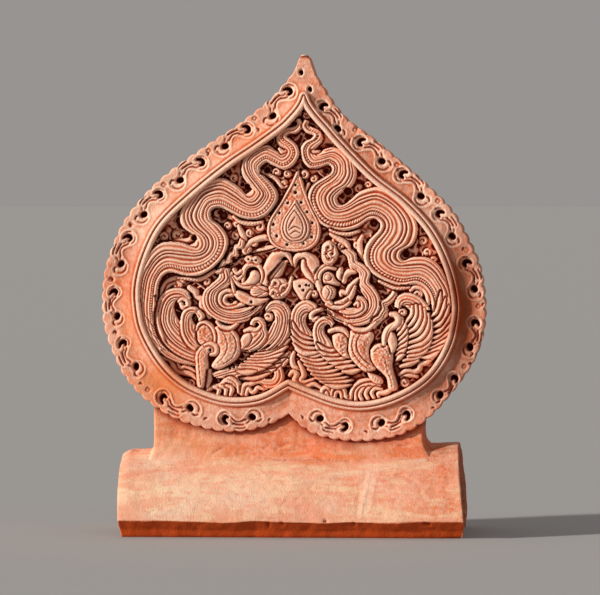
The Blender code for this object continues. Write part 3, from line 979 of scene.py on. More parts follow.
LEFT_TAIL: Guide = [
    (299, 119, 295.5, 120), (301.5, 126, 297, 125), (296, 132.5, 292, 127.5), (288, 133.5, 283, 129.5),
    (285.5, 137, 276.5, 136), (289, 139.5, 277.5, 144), (296, 146, 283, 147.5), (298, 155, 286.5, 150),
    (293, 164, 286, 153), (284, 169, 281, 154.5), (273, 165, 275, 151), (266, 162, 266, 145.5),
    (260, 166, 253, 150), (259, 170, 243, 160), (264, 177, 242, 174), (274, 188, 249, 185),
    (277, 199, 255, 192), (268, 213, 252, 197), (256, 219, 247, 197), (243, 218, 242, 192),
    (232, 213, 236, 186), (222, 208, 220, 178.5), (213, 208, 200, 185), (209, 213, 190, 196),
    (211, 220, 180, 212), (219, 226, 182, 226), (226, 236, 195, 236), (226.5, 247, 199, 243),
    (220, 260, 197, 248), (206, 272, 191, 247), (190, 276.5, 180, 243), (172, 272, 161, 243.5),
    (163, 275, 148, 255), (158, 284, 141, 272), (156.5, 297, 138.8, 291), (155.5, 311, 139.8, 306),
    (157, 325, 142, 321), (161, 338, 147, 335), (168, 350, 156, 348),
]
RIGHT_TAIL: Guide = [
    (304, 120, 308, 121.5), (301.5, 126.5, 306.5, 125.5), (306.5, 132.5, 311, 127.5),
    (313.5, 135, 319, 132), (311, 139, 321.5, 140), (304, 142.5, 316, 147), (300.5, 150, 310, 150),
    (302.5, 160, 311.5, 154), (309, 167.5, 318, 154.5), (318, 167.5, 326, 149), (327, 164.5, 337, 149),
    (332, 168, 350, 159), (330, 174, 356, 172), (322, 179, 352, 185), (312, 186, 343, 191),
    (308, 198, 336.5, 197), (313, 213, 338, 204), (323, 225, 344, 205), (340, 230.5, 352, 199),
    (356, 227.5, 362, 191), (368, 219.5, 380, 188), (377, 219.5, 397, 198), (381, 225, 411, 213),
    (378, 232, 417, 228), (370, 240, 413, 243), (365, 250, 402, 250), (365, 262, 399.5, 256),
    (372, 272, 402, 260), (385, 280.5, 406, 260.5), (400, 286, 414, 257.5), (415, 283.5, 429, 258.5),
    (425, 288, 441, 269), (431, 298, 448.5, 287), (433, 312, 451, 305),
]
TAILS: list[Mark] = [
    Bundle(LEFT_TAIL, 8, (-1, 1, 2, 0, 1, 4, 5, 3), beaded=1),
    Bundle(RIGHT_TAIL, 8, (-1, 0, 0, -1, -1, -1.5), beaded=1),
    # Twisted cords in the tails' bends.
    Ridge([(262, 172), (268, 175), (275, 179), (281, 187)], (1.2, 1.8, 1.6), -6, twist=3.2),
    *[Ridge(line, (1.2, 1.8, 1.4), -6, twist=3.2) for line in (
        [(233, 217), (240, 222), (250, 224), (261, 222)], [(177, 278), (188, 279), (200, 279), (214, 271)],
        [(308, 184), (304, 194), (307, 206), (314, 218)], [(330, 230), (338, 233), (348, 234), (358, 231)],
        [(379, 281), (388, 285), (397, 288), (409, 287)])],
    # Dark hollows inside the bends.
    Pit(246, 187, 2.8, -32), Pit(241, 184.5, 1.8, -30), Pit(266, 170, 2.8, -30), Pit(222, 216, 3.8, -32),
    Pit(193, 238, 2.4, -30), Pit(347, 191.5, 3.4, -32), Pit(373, 223, 3.6, -32), Pit(405.5, 254, 3.2, -32),
    Pit(325, 171, 2.6, -30), Pit(219, 212.5, 2.4, -30),
]

LEFT_BIRD: list[Mark] = [
    # Far feathers along the rim.
    Bundle([(138.8, 299, 156, 296), (140.5, 314, 158, 310), (144, 327, 160, 323), (149, 338, 164, 335),
        (156, 348, 167, 345), (166, 357, 176, 353), (180, 363, 187, 359), (196, 366, 200, 362)], 4,
        (-2, 2, 3, 2.5, 1), groove=2.8, edge=1.5),
    Cut([(143, 312), (150, 322), (159, 334)], 0.6, 2.4),
    Cut([(146, 325), (154, 335), (165, 345)], 0.6, 2.4),
    Cut([(152, 338), (161, 347), (174, 354)], 0.6, 2.4),
    # Outer wing with its curled end.
    Bundle([(190, 298, 186, 305), (186, 291, 184, 300.5), (177, 288.5, 178, 299.5), (167, 291, 174, 302),
        (160, 298, 173, 309), (156, 309, 176, 318), (155, 321, 181, 324), (158, 334, 187, 328),
        (166, 346, 194, 332), (180, 356, 202, 336), (199, 363, 209, 341)], 9, -0.4),
    Ridge([(179, 301.5), (182, 299), (187, 301), (187.5, 306), (183, 307.5), (181, 304)], (1.5, 2, 1.8),
        0.8),
    # Outer wing's tip with its curled end.
    Bundle([(200.5, 312, 199, 319), (195, 307.5, 196, 313.5), (187, 308.5, 192, 314), (182, 314, 191, 319),
        (180.5, 324, 194, 325), (182, 336, 200, 330), (189, 347, 206, 335), (201, 354, 212, 340)], 6, 0.8),
    Ridge([(199, 312), (202, 316), (200, 320)], (1.8, 2, 1.2), 1.2),
    # Flight feathers of the inner wing, the lower row first.
    Fan([(289, 352), (284, 360), (278, 367), (270, 373)], [(276, 360), (270, 366), (263, 371), (256, 376)],
        [(262, 366), (256, 371), (248, 375), (240, 378)], 5, 2.4, -6.5, -1.3),
    Fan([(291, 331), (289.5, 340), (286, 348), (281, 355), (274, 362), (266, 368), (257, 371)],
        [(276, 345), (272, 351), (268, 356.5), (262, 361), (256, 365), (250, 368), (246, 371)],
        [(258, 351), (253, 355), (248, 358.5), (244, 362), (240, 365), (238, 368), (237, 371)], 8, 2.5,
        -1.6, -1.3),
    # Inner wing with its bud, then its tip, and the barbs on its edge.
    Bundle([(266, 308, 267, 315), (271, 302, 270, 311), (279, 301, 274, 312), (286, 304.5, 275.5, 317),
        (290.5, 313, 273.5, 323), (291, 325, 270, 329), (288, 336, 266, 336), (281, 346, 259, 343),
        (271, 353, 252, 349)], 7, 0, ragged=12),
    Curl(269, 317, 4.4, 0.8, start=200),
    Bundle([(250.5, 324, 254, 325.5), (253, 319, 255.5, 322.5), (259, 317.5, 258, 322),
        (264, 321, 259.5, 325), (266, 329, 257, 331), (268, 337, 250, 333), (262, 346, 243, 337),
        (252, 351, 240, 343), (243, 351, 239.5, 350)], 5, 1.6, ragged=6),
    *[Cut([(279.5 + 10 * math.sin(0.2 * k), 300.5 + 2.7 * k),
           (282.5 + 9 * math.sin(0.2 * k), 302.5 + 2.7 * k)], 0.7, 1.8) for k in range(10)],
    # Root of the inner wing.
    Pad([(242, 349), (240.5, 342), (244, 335.5), (250, 333), (252, 338), (248.5, 345)], 2.2, 0.9),
    Ridge([(245, 331), (251, 329.5), (257, 330), (261, 326)], (1, 1.8, 1.8, 1.2), 2.2),
    # Mane, rolled up behind the throat.
    Bundle([(217, 268, 229, 269), (219, 277, 230.5, 280), (211, 285, 226, 288), (204, 292, 219, 292.5),
        (202.5, 302, 217.5, 300), (207, 312, 221, 306.5), (218, 320, 230, 310), (232, 323.5, 241, 308.5),
        (248, 320, 252, 307), (260, 311, 261, 303.5), (268, 303, 266, 300.5)], 7, -1, groove=2.8,
        ragged=22),
    Ridge([(235, 294), (228, 290.5), (221, 294), (219.5, 301), (224, 306), (233, 307), (243, 304)],
        (1.6, 2, 2, 1.8), -1),
    Ridge([(232, 295), (226, 296), (224, 301), (228, 304.5), (236, 303)], (1.4, 1.6, 1.2), -1.6),
    Pit(231, 301, 2.4, -14),
    # Throat and jaw.
    Pad([(233, 293), (238, 291), (246, 294), (252, 297), (262, 298.5), (268, 299), (262, 303), (254, 305.5),
        (244, 303), (238, 299)], -0.5, 1),
    Pit(251.5, 302, 1.3, -6), Ridge([(231.5, 273), (232, 282), (234, 292)], (1.2, 1.4, 1.2), -0.5),
    Ridge([(233, 277), (238, 284), (246, 287), (256, 286), (262, 281)], (1.2, 1.8, 2, 1.4), -0.8),
    # Breast.
    Pad([(214, 328), (221, 326), (232, 330), (238, 337), (240.5, 347), (237, 357), (229, 364), (219, 369),
        (212, 366), (217, 358), (220, 351), (217, 343), (214, 335)], 0.6, 2.6, 0.8),
    Cut([(222, 331), (226, 337), (228, 346), (225, 355), (218, 363)], 0.8, 1.6),
    Cut([(231, 332), (235.5, 339), (236.5, 348), (232.5, 357.5), (224, 364)], 0.9, 2),
    # Scaly patch on the flank.
    Pad([(198, 328), (204, 324.5), (210, 328), (214, 335), (213, 343), (206, 346), (199, 343),
        (196.5, 335)], -1, 1.4, 1.3),
    Ridge([(196.5, 330), (199, 324.5), (205, 322.5), (211.5, 327), (215, 335), (215, 343)],
        (1, 1.5, 1.6, 1.4), 0.6),
    # Leg with its curled thigh and its spur.
    Pad([(213, 344.5), (206, 344), (199, 348), (195.5, 355), (196, 365), (197, 376), (198, 386), (203, 388),
        (206, 379), (208, 368), (207, 358), (209, 353), (215, 352), (219, 348)], 1, 2, 0.7),
    Cut([(208, 347.5), (202, 350), (199, 356), (199.5, 366), (200.5, 376), (201.5, 385)], 0.8, 1.8),
    Ridge([(205, 345), (211, 343.5), (216.5, 347), (216, 353), (211, 354.5)], (1.2, 2.1, 2.5, 2.2, 1.2),
        2.4),
    Pit(210.5, 350, 1.2, -7), Ridge([(209.5, 371), (209, 379), (207.5, 387)], (1.6, 2, 1.4), -2),
    # Collar over the breast.
    Ridge([(217, 322), (222, 327), (230, 328.5), (237, 324)], (1, 2.1, 2.1, 1), 0.6),
    # Upper beak, then the lower beak.
    Pad([(261, 283), (262, 272), (265, 264), (270, 256), (276, 250), (281, 249), (287, 251), (291, 257),
        (292.5, 265), (289.5, 260.5), (286.5, 257), (283.5, 256.5), (281, 259), (280.5, 264), (277, 269),
        (272, 274), (269.5, 280), (268, 286)], 0.5, 1.8),
    Ridge([(273, 278), (279, 270.5), (284.5, 262.5), (287, 261)], (4, 3.8, 2.2, 1), -3),
    Ridge([(271, 277.5), (277, 269.5), (283, 262)], (1, 1.2, 0.8), -1.4),
    # Brow and eye.
    Ridge([(243, 283), (243, 273), (247, 266), (254, 264.5), (260, 268), (262.5, 275), (261, 282)],
        (1, 1.7, 1.9, 1.7, 1), 0.3),
    Cut([(246, 280), (246, 273), (249, 269), (255, 267.5), (259, 271), (260, 277)], 1.2, 4),
    Pad([(241, 284), (246, 281), (249.5, 277), (251, 272.5), (255, 271), (259, 274), (259.5, 279.5),
        (256, 283.5), (250, 285), (245, 285.5)], 0.2, 2.4),
    # Knot of the comb and its buds.
    Pad([(244.5, 259), (248, 255.5), (252, 257.5), (256.5, 257), (260, 260.5), (257.5, 264.5),
        (252.5, 262.5), (248, 263)], 0, 1.4, 1),
    Pit(256, 260.5, 0.9, -5), Pit(248.5, 259.3, 0.9, -5), Pit(252.2, 260.5, 0.7, -4),
    Curl(247.5, 249, 3.8, -0.8, turns=0.8, start=90), Curl(253.5, 243.5, 3.4, -1.4, turns=0.7, start=300),
    Pit(251, 252, 1, -6), Pit(247, 247, 0.8, -5),
    # Tufts behind the brow.
    Ridge([(233.5, 270), (237, 273.5), (241, 271.5)], (1.2, 1.8, 1.2), -0.6),
    Ridge([(234.5, 276), (238, 279), (242, 276)], (1, 1.6, 1), -0.8),
    # Streamers of the comb, then of the neck.
    Ridge([(280, 245), (268, 238), (255, 240), (247, 245.5), (243.5, 251), (247, 255)],
        (1.2, 2.2, 2.2, 2.4, 2, 1.4), -3),
    Ridge([(280, 247.5), (266, 249), (254, 252.5)], (2.2, 2.8, 1.6), -8),
    Bundle([(244, 241.5, 240, 239), (242.5, 248, 237.5, 244.5), (237, 249.5, 234.5, 245.5),
        (237.5, 256, 231.5, 252.5), (231, 257, 229.5, 252.5), (230.5, 264, 225, 261),
        (224.5, 264.5, 222.5, 260.5), (222.5, 271.5, 217.5, 269), (217, 274, 214.5, 270.5)], 3, -0.6),
    # Cheek, ribbed like a shell.
    Pad([(251, 289), (254, 286.5), (261, 286), (267, 288), (269, 292), (266, 295.5), (258, 297),
        (251.5, 294.5)], 0, 1.6),
    *[Cut([(267.5, 291.5), (260, y + 0.3 * (291.5 - y)), (x, y)], 0.75, 2.6)
      for x, y in ((257, 286.5), (252.5, 288.5), (251.5, 291), (252, 293.6), (256, 296.5))],
    # Wattle with its curls.
    Pad([(270, 281), (276, 278.5), (284, 280), (288, 283), (291.5, 277), (292.3, 283), (290, 289),
        (285, 296), (277, 299), (271, 296), (268.5, 289)], -1.6, 1),
    Ridge([(272, 285), (274, 280.5), (278.5, 281.5), (279, 286), (275, 286.5)], (1.2, 1.6, 1.5, 0.9), 0.9),
    Ridge([(280, 291), (282, 286), (286.5, 285.5), (287, 289.5), (284, 290.5)], (1, 1.5, 1.4, 0.8), 0.7),
    Ridge([(270.5, 294), (273, 290), (277.5, 291.5), (277, 296), (273.5, 296)], (1.2, 1.6, 1.5, 0.9), 0.9),
    Pit(275.4, 283.6, 0.9, -5), Pit(284.2, 288.2, 0.8, -5), Pit(273.8, 293.4, 0.8, -5),
    Ridge([(278, 295), (283, 293.5), (286.5, 290)], (1, 1.4, 1), 0.2),
    Ridge([(282, 295), (287, 291), (290, 284), (291.6, 278)], (1.6, 1.6, 1.2, 0.5), -0.8),
    # Deep line between the streamers and the head.
    Cut([(283, 245), (270, 250), (258, 252.5), (247, 255), (240, 257.5), (230, 263.5), (215, 270)], 1, 14),
]

RIGHT_BIRD: list[Mark] = [
    # Comb of feathers along the rim.
    Fan([(441, 291), (447, 300), (450.5, 309), (452, 319), (451, 329), (447, 340), (439, 351)],
        [(436, 309), (441, 317), (443, 325), (443, 332), (440, 340), (435, 348), (430, 355)],
        [(430, 317), (431, 324), (431.5, 330), (431, 336), (429.5, 342), (426, 349), (421, 357)], 9, 2.2,
        -2.5, -1.3),
    # Inner wing and its flight feathers.
    Bundle([(315, 311, 313, 311), (316, 305, 311, 310.5), (307, 300.5, 308, 313), (298, 304, 305.5, 318),
        (292.5, 312, 306, 325), (291, 322, 310, 331), (291, 332, 314, 336)], 6, -0.8),
    Fan([(296, 349), (299, 355), (303, 361), (306, 366), (310, 371), (314, 376), (320, 380.5), (326, 384)],
        [(310, 355), (313, 360), (318, 365.5), (322, 370.5), (326, 375), (331, 379.5), (336, 382.5),
        (338, 385)], [(323, 354), (328, 358.5), (334, 363), (339, 368), (344, 373), (349, 377.5),
        (353, 380.5), (351, 384.5)], 9, 2.2, -1.5, 1.3),
    Fan([(293, 322), (291.5, 329), (291.5, 336), (293.5, 343)],
        [(300, 333), (301, 340), (303, 346), (305, 351)],
        [(313, 339), (316, 344), (318, 348.5), (321, 352)], 4, 2.4, -0.4, 1.3),
    # Curled end of the inner wing.
    Ridge([(321, 309.5), (315.5, 311), (311.5, 315), (313, 319.5), (317.5, 318)], (1, 1.9, 2, 1.6), 0.8),
    Pit(310.5, 322, 2.2, -12),
    # Inner wing's tip and its feathers.
    Bundle([(334, 323, 331.5, 327), (330, 317.5, 328.5, 323.5), (322, 317.5, 325, 325),
        (316, 322.5, 323.5, 329), (313.5, 331, 325, 334), (315, 342, 329, 339), (319, 352, 333, 346),
        (328, 361, 338, 353)], 4, 1),
    Pit(328.5, 326.5, 2, -12),
    Fan([(318, 343), (319, 349), (322, 355), (328, 361), (335, 366), (343, 371)],
        [(328, 349), (331, 354), (336, 358), (342, 362), (348, 366), (352, 370)],
        [(338, 349), (345, 354), (350, 357.5), (353, 361), (357, 365.5), (361, 369)], 6, 2.2, 0, 1.3),
    # Shoulder and scaly patch of the inner wing.
    Ridge([(330, 331), (337, 329), (344, 330.5), (349, 336)], (1.6, 2.2, 2.2, 1.4), 0.6),
    Pad([(333, 336), (336, 334), (341, 333), (346, 336), (348, 343), (347, 350), (350, 357), (345, 357),
        (338, 351), (334, 345)], -0.4, 1.6, 1.3),
    # Outer wing with its bud, then its long feathers from the lowest up.
    Bundle([(395, 306, 400, 308), (397, 298, 402, 305), (404, 293.5, 406, 306), (413, 294, 409, 308),
        (422, 299, 411, 310), (430, 309, 414, 311)], 6, 0.2),
    Curl(403, 312, 4, -0.4, start=180), Ridge([(418, 360), (410, 363.5), (401, 366)], (1.4, 2.2, 1), -1.6),
    Ridge([(426, 351), (416, 357), (404, 360)], (1.6, 2.4, 1), -1.2),
    Ridge([(430, 341), (425, 350), (417, 354), (408, 356)], (1.6, 2.4, 2.4, 1), -0.8),
    Ridge([(431, 331), (429, 342), (420, 349), (408, 352)], (1.6, 2.4, 2.4, 1), -0.6),
    Ridge([(431, 321), (430, 335), (423, 343), (409, 347.5)], (1.6, 2.4, 2.4, 1), -0.4),
    Ridge([(428, 314), (428, 328), (421, 338), (409, 342.5)], (1.6, 2.3, 2.3, 1), -0.2),
    Ridge([(424.5, 309), (425, 321), (419, 332), (409, 337)], (1.6, 2.2, 2.2, 1), 0),
    Ridge([(420.5, 306), (421, 317), (416, 327), (409, 331.5)], (1.6, 2.1, 2.1, 1), 0),
    Ridge([(416.5, 305), (416.5, 315), (412, 323), (408, 326.5)], (1.5, 1.9, 1.9, 0.9), 0),
    Ridge([(412.5, 306), (412, 314), (407, 321)], (1.4, 1.7, 0.9), 0),
    # Short feathers of the outer wing.
    Fan([(402, 317), (406, 322), (408, 330), (408, 338), (407, 346), (405, 354)],
        [(400, 325), (403, 330), (404, 336), (404, 343), (403, 349), (401, 355)],
        [(397, 330), (398, 336), (398, 341.5), (397, 347), (396, 352), (396.5, 360)], 7, 2, 0.2, -1.3),
    # Mane, then the curl inside it.
    Bundle([(350, 249, 341, 251), (355.5, 254, 347, 256), (357, 261, 349, 263), (364, 265.5, 351, 268.5),
        (370, 273, 359, 273), (368.5, 282, 359.5, 282), (374, 288, 361, 290), (379.5, 298, 366, 297.5),
        (379.5, 309, 369, 306), (371, 321, 362, 314), (355, 326, 350, 315), (340, 323, 339, 312),
        (327, 316, 328, 307)], 6, -1, groove=2.8, ragged=20),
    Bundle([(358, 296, 356, 302), (363, 297.5, 359, 302), (367, 303, 361, 305), (366.5, 310, 358, 308),
        (359, 316, 352, 308), (348, 317.5, 345, 307.5), (336, 315, 338, 306)], 4, -0.3, groove=2.8,
        ragged=10),
    Ridge([(355, 304.5), (358.5, 302.5), (358.5, 306)], (1, 1.3, 1), 0.2),
    # Jaw and throat.
    Ridge([(341, 295), (341.5, 292), (347, 292.5), (350, 287), (354, 283), (358, 279)],
        (1.2, 1.8, 2.1, 2, 1.8, 0.8), -0.2),
    Ridge([(336, 303), (344, 301.5), (350, 297), (353, 291), (355, 286)], (1.2, 2.2, 2.4, 2, 1), -0.4),
    Ridge([(327, 304), (334, 307), (343, 307), (350, 302)], (1.2, 2, 2, 1), -0.6),
    Ridge([(344, 300.5), (347, 298.5)], (1.3, 1.3), 0.6),
    # Breast.
    Pad([(351, 331), (361, 330.5), (371, 332), (373, 337), (370, 344), (369, 351), (371, 360), (376, 368),
        (366, 371), (357, 364), (350, 355), (349, 345), (350, 337)], 0.4, 2.4, 0.8),
    Cut([(361, 334), (357.5, 341), (358, 350), (364, 358.5), (371, 364)], 1.1, 2.4),
    Cut([(355, 335), (352.5, 343), (354, 352), (360, 361), (368, 368)], 0.9, 1.8),
    Cut([(352, 358), (356, 355)], 0.6, 1.2), Cut([(354.5, 361), (358.5, 358)], 0.6, 1.2),
    Cut([(357.5, 364), (361, 361)], 0.6, 1.2), Cut([(361, 367), (364.5, 364)], 0.6, 1.2),
    # Leg.
    Pad([(371, 350), (376, 345), (384, 344), (391, 348), (393, 356), (392, 366), (395, 378), (397, 388),
        (390, 389), (388, 378), (383, 372), (376, 366), (371.5, 358)], 1, 2.4, 0.9),
    Cut([(374, 352), (379, 348), (386, 348.5), (389, 354)], 0.8, 1.6),
    Cut([(386, 360), (388, 370), (391.5, 379), (393, 387)], 0.7, 1.4),
    # Plume of the thigh, then the outer wing's root.
    Pad([(391, 331), (395, 335), (397.5, 342), (396, 349), (392, 353), (390, 347), (388, 340), (388, 334)],
        0.3, 1.2),
    Ridge([(391, 314), (396, 315), (399, 319), (397, 324), (389, 329), (385.5, 336), (384.5, 344)],
        (1.5, 2.8, 3, 2.8, 2.8, 2.6, 1.8), 0.2),
    Cut([(397, 321), (391, 327), (387, 334), (386, 343)], 0.7, 1.4),
    # Scarf, then the collar over the breast.
    Bundle([(393, 291, 397, 293.5), (390.5, 295, 395, 299), (386, 299, 389.5, 304), (381, 301.5, 387, 306),
        (382, 308, 387.5, 309.5), (380, 311.5, 387, 315.5), (378, 315, 381.5, 320.5),
        (373, 318.5, 378, 324), (370, 325, 374.5, 328.5)], 3, -2.4),
    Ridge([(350, 325), (357, 329.5), (366, 330), (372, 326), (376, 322)], (1.2, 2.2, 2.2, 1.8, 1.2), -0.4),
    # Ribbed tuft under the breast.
    Pad([(368, 372), (374, 374), (381, 378), (382, 383), (376, 383), (371, 379)], -2, 1),
    Cut([(372, 374), (370.5, 378)], 0.5, 0.9), Cut([(374.5, 375), (373, 380)], 0.5, 0.9),
    Cut([(377, 376), (375.5, 382)], 0.5, 0.9), Cut([(379.5, 378), (378, 383)], 0.5, 0.9),
    # Upper beak, then the lower beak.
    Pad([(294.5, 266), (293, 259), (297, 254), (303, 252), (310, 254), (316, 258.5), (319, 265), (319, 272),
        (317, 279), (315.5, 284), (313.5, 279), (310, 273), (307.5, 267), (305.5, 261), (303, 258.5),
        (299, 259), (296.5, 262)], 0.6, 1.6),
    Ridge([(303.5, 261), (304, 267), (308, 274), (314, 282)], (2, 2.8, 3, 1.2), -0.6),
    # Two brows and the eye.
    Ridge([(317, 286), (316, 277), (319, 270), (324, 266), (331, 264.5)], (1, 1.5, 1.6, 1.5, 0.8), 0.2),
    Ridge([(320, 284), (319.5, 276), (322.5, 270.5), (328, 267.8), (335, 269)], (0.9, 1.4, 1.5, 1.4, 0.8),
        0.8),
    Pad([(323, 279), (324, 274), (328.5, 272), (332.5, 274.5), (335, 279), (339.5, 284), (334, 284.5),
        (328, 283), (324.5, 282.5)], 0.2, 2.4),
    Pad([(325, 277), (326.4, 274.6), (329, 274.2), (331, 276), (330.8, 278.8), (328, 280.2),
        (325.6, 279.2)], 1.6, 1.8, 0.9),
    # Knot of the comb.
    Pad([(322, 252), (323, 245), (329, 241.5), (335, 246), (337, 254), (334, 261), (328, 265), (323, 261)],
        -1, 1),
    Ridge([(325, 251), (325.5, 246), (330, 244.5), (331.5, 248.5), (328.5, 250.5)], (1, 1.5, 1.4, 0.8),
        0.8),
    Ridge([(335, 249), (335.5, 254.5), (331.5, 257), (329, 253.5), (331.5, 251.5)], (1, 1.5, 1.4, 0.8),
        0.8),
    Ridge([(324.5, 256), (327, 261), (331.5, 262), (333.5, 258.5)], (1, 1.5, 1.4, 0.8), 0.6),
    Pit(328, 247.6, 0.9, -6), Pit(332.6, 253.8, 0.9, -6), Pit(326.3, 253.6, 0.9, -6),
    Pit(329.4, 258.4, 0.9, -6), Pit(333.2, 246.4, 0.7, -5),
    # Horn behind the brow.
    Pad([(337, 271), (341, 268), (343, 274), (341, 280), (337, 277)], -1, 1.4),
    Ridge([(344, 281), (345, 276), (349, 272), (355, 271.5)], (1.8, 2.4, 2.4, 1.2), -1.5),
    # Cheek, ribbed like a shell.
    Ridge([(318, 282), (321, 290), (326, 299), (332, 304)], (2, 3, 2.6, 1.2), 0),
    Pad([(322, 292), (323.5, 287.5), (328, 285.5), (333, 287.5), (335, 292), (333, 297.5), (328, 300),
        (323.5, 297)], 0.6, 1.8),
    Cut([(330, 286.5), (333, 291.5), (330.5, 298.5)], 0.75, 2.6),
    Cut([(326.5, 286.5), (330, 291.5), (327, 299)], 0.75, 2.6),
    # Wattle with its curl.
    Pad([(293, 281), (300, 280), (308, 280), (313, 285), (312, 292), (307, 298), (302, 299.5), (297, 293),
        (293.5, 287)], -0.8, 1.6),
    Pit(300, 286, 1.2, -6), Pit(306.5, 285, 1.1, -5), Pit(303.5, 290, 1.2, -6), Pit(309.5, 285.5, 0.9, -5),
    Curl(314.5, 294, 3.8, 0.2, start=200),
    Ridge([(307, 298), (309, 294), (311, 291)], (1.2, 1.5, 1.2), 0.3),
]

JEWEL: list[Mark] = [
    # Flame, then the drop inside it with its rings and cuts.
    Pad([(297.5, 171), (293, 181), (287, 192), (281, 203), (275, 212), (270, 221), (267.5, 230), (269, 240),
        (276, 247), (286, 250.5), (296, 251.5), (306, 250), (314, 245), (319, 236), (319, 226), (314, 216),
        (309, 206), (304.5, 195), (301, 184)], -3.6, 1, 0.9),
    Pad([(295, 199), (289, 209), (283, 218), (280.5, 227), (282, 236), (287, 241.5), (295, 243), (303, 241),
        (308.5, 235), (309.5, 226), (306, 217), (300, 208)], -0.4, 2.4),
    Cut([(295, 204), (289.5, 212), (284.5, 220), (283, 229), (285.5, 236), (291, 240.6), (296, 241),
        (302, 239), (306, 233), (306.5, 226), (303, 217), (295, 204)], 1.1, 3),
    Cut([(294.5, 210), (289, 218), (286.5, 226), (287.5, 233), (292, 237.5), (297, 238), (302, 234),
        (303, 226), (300, 218), (294.5, 210)], 0.9, 2.2),
    Cut([(295, 217), (291, 223), (288.5, 228)], 1, 3),
    Cut([(289, 230), (295, 226.5), (301, 229)], 0.9, 2.4),
    Cut([(290.5, 234), (295.5, 231), (300.5, 233)], 0.9, 2.2),
    # Twisted cord round the flame, and the pits inside it.
    Ridge([(297, 173), (292.5, 183), (286.5, 194), (280, 205), (274, 214), (269.5, 223), (268.5, 233),
        (272, 242), (280, 248), (290, 250), (300, 250), (309, 247.5), (316, 241), (318.5, 232),
        (317.5, 223), (312, 212), (307.5, 202), (303, 190), (299.5, 178)], (0.9, 1, 0.9), -1.2, twist=2.6),
    Pit(295, 185, 1.2, -9), Pit(295, 192.5, 1.5, -10), Pit(287.5, 203, 1.2, -10), Pit(279, 213, 1.2, -10),
    Pit(273, 224.5, 1.3, -10), Pit(276.5, 236, 1.3, -10), Pit(287, 244.5, 1.2, -9),
    Pit(303.5, 243.5, 1.1, -9), Pit(311.5, 237, 1.3, -10), Pit(312, 223, 1.2, -10), Pit(307, 212, 1.2, -10),
    Pit(301, 202.5, 1.2, -10),
]

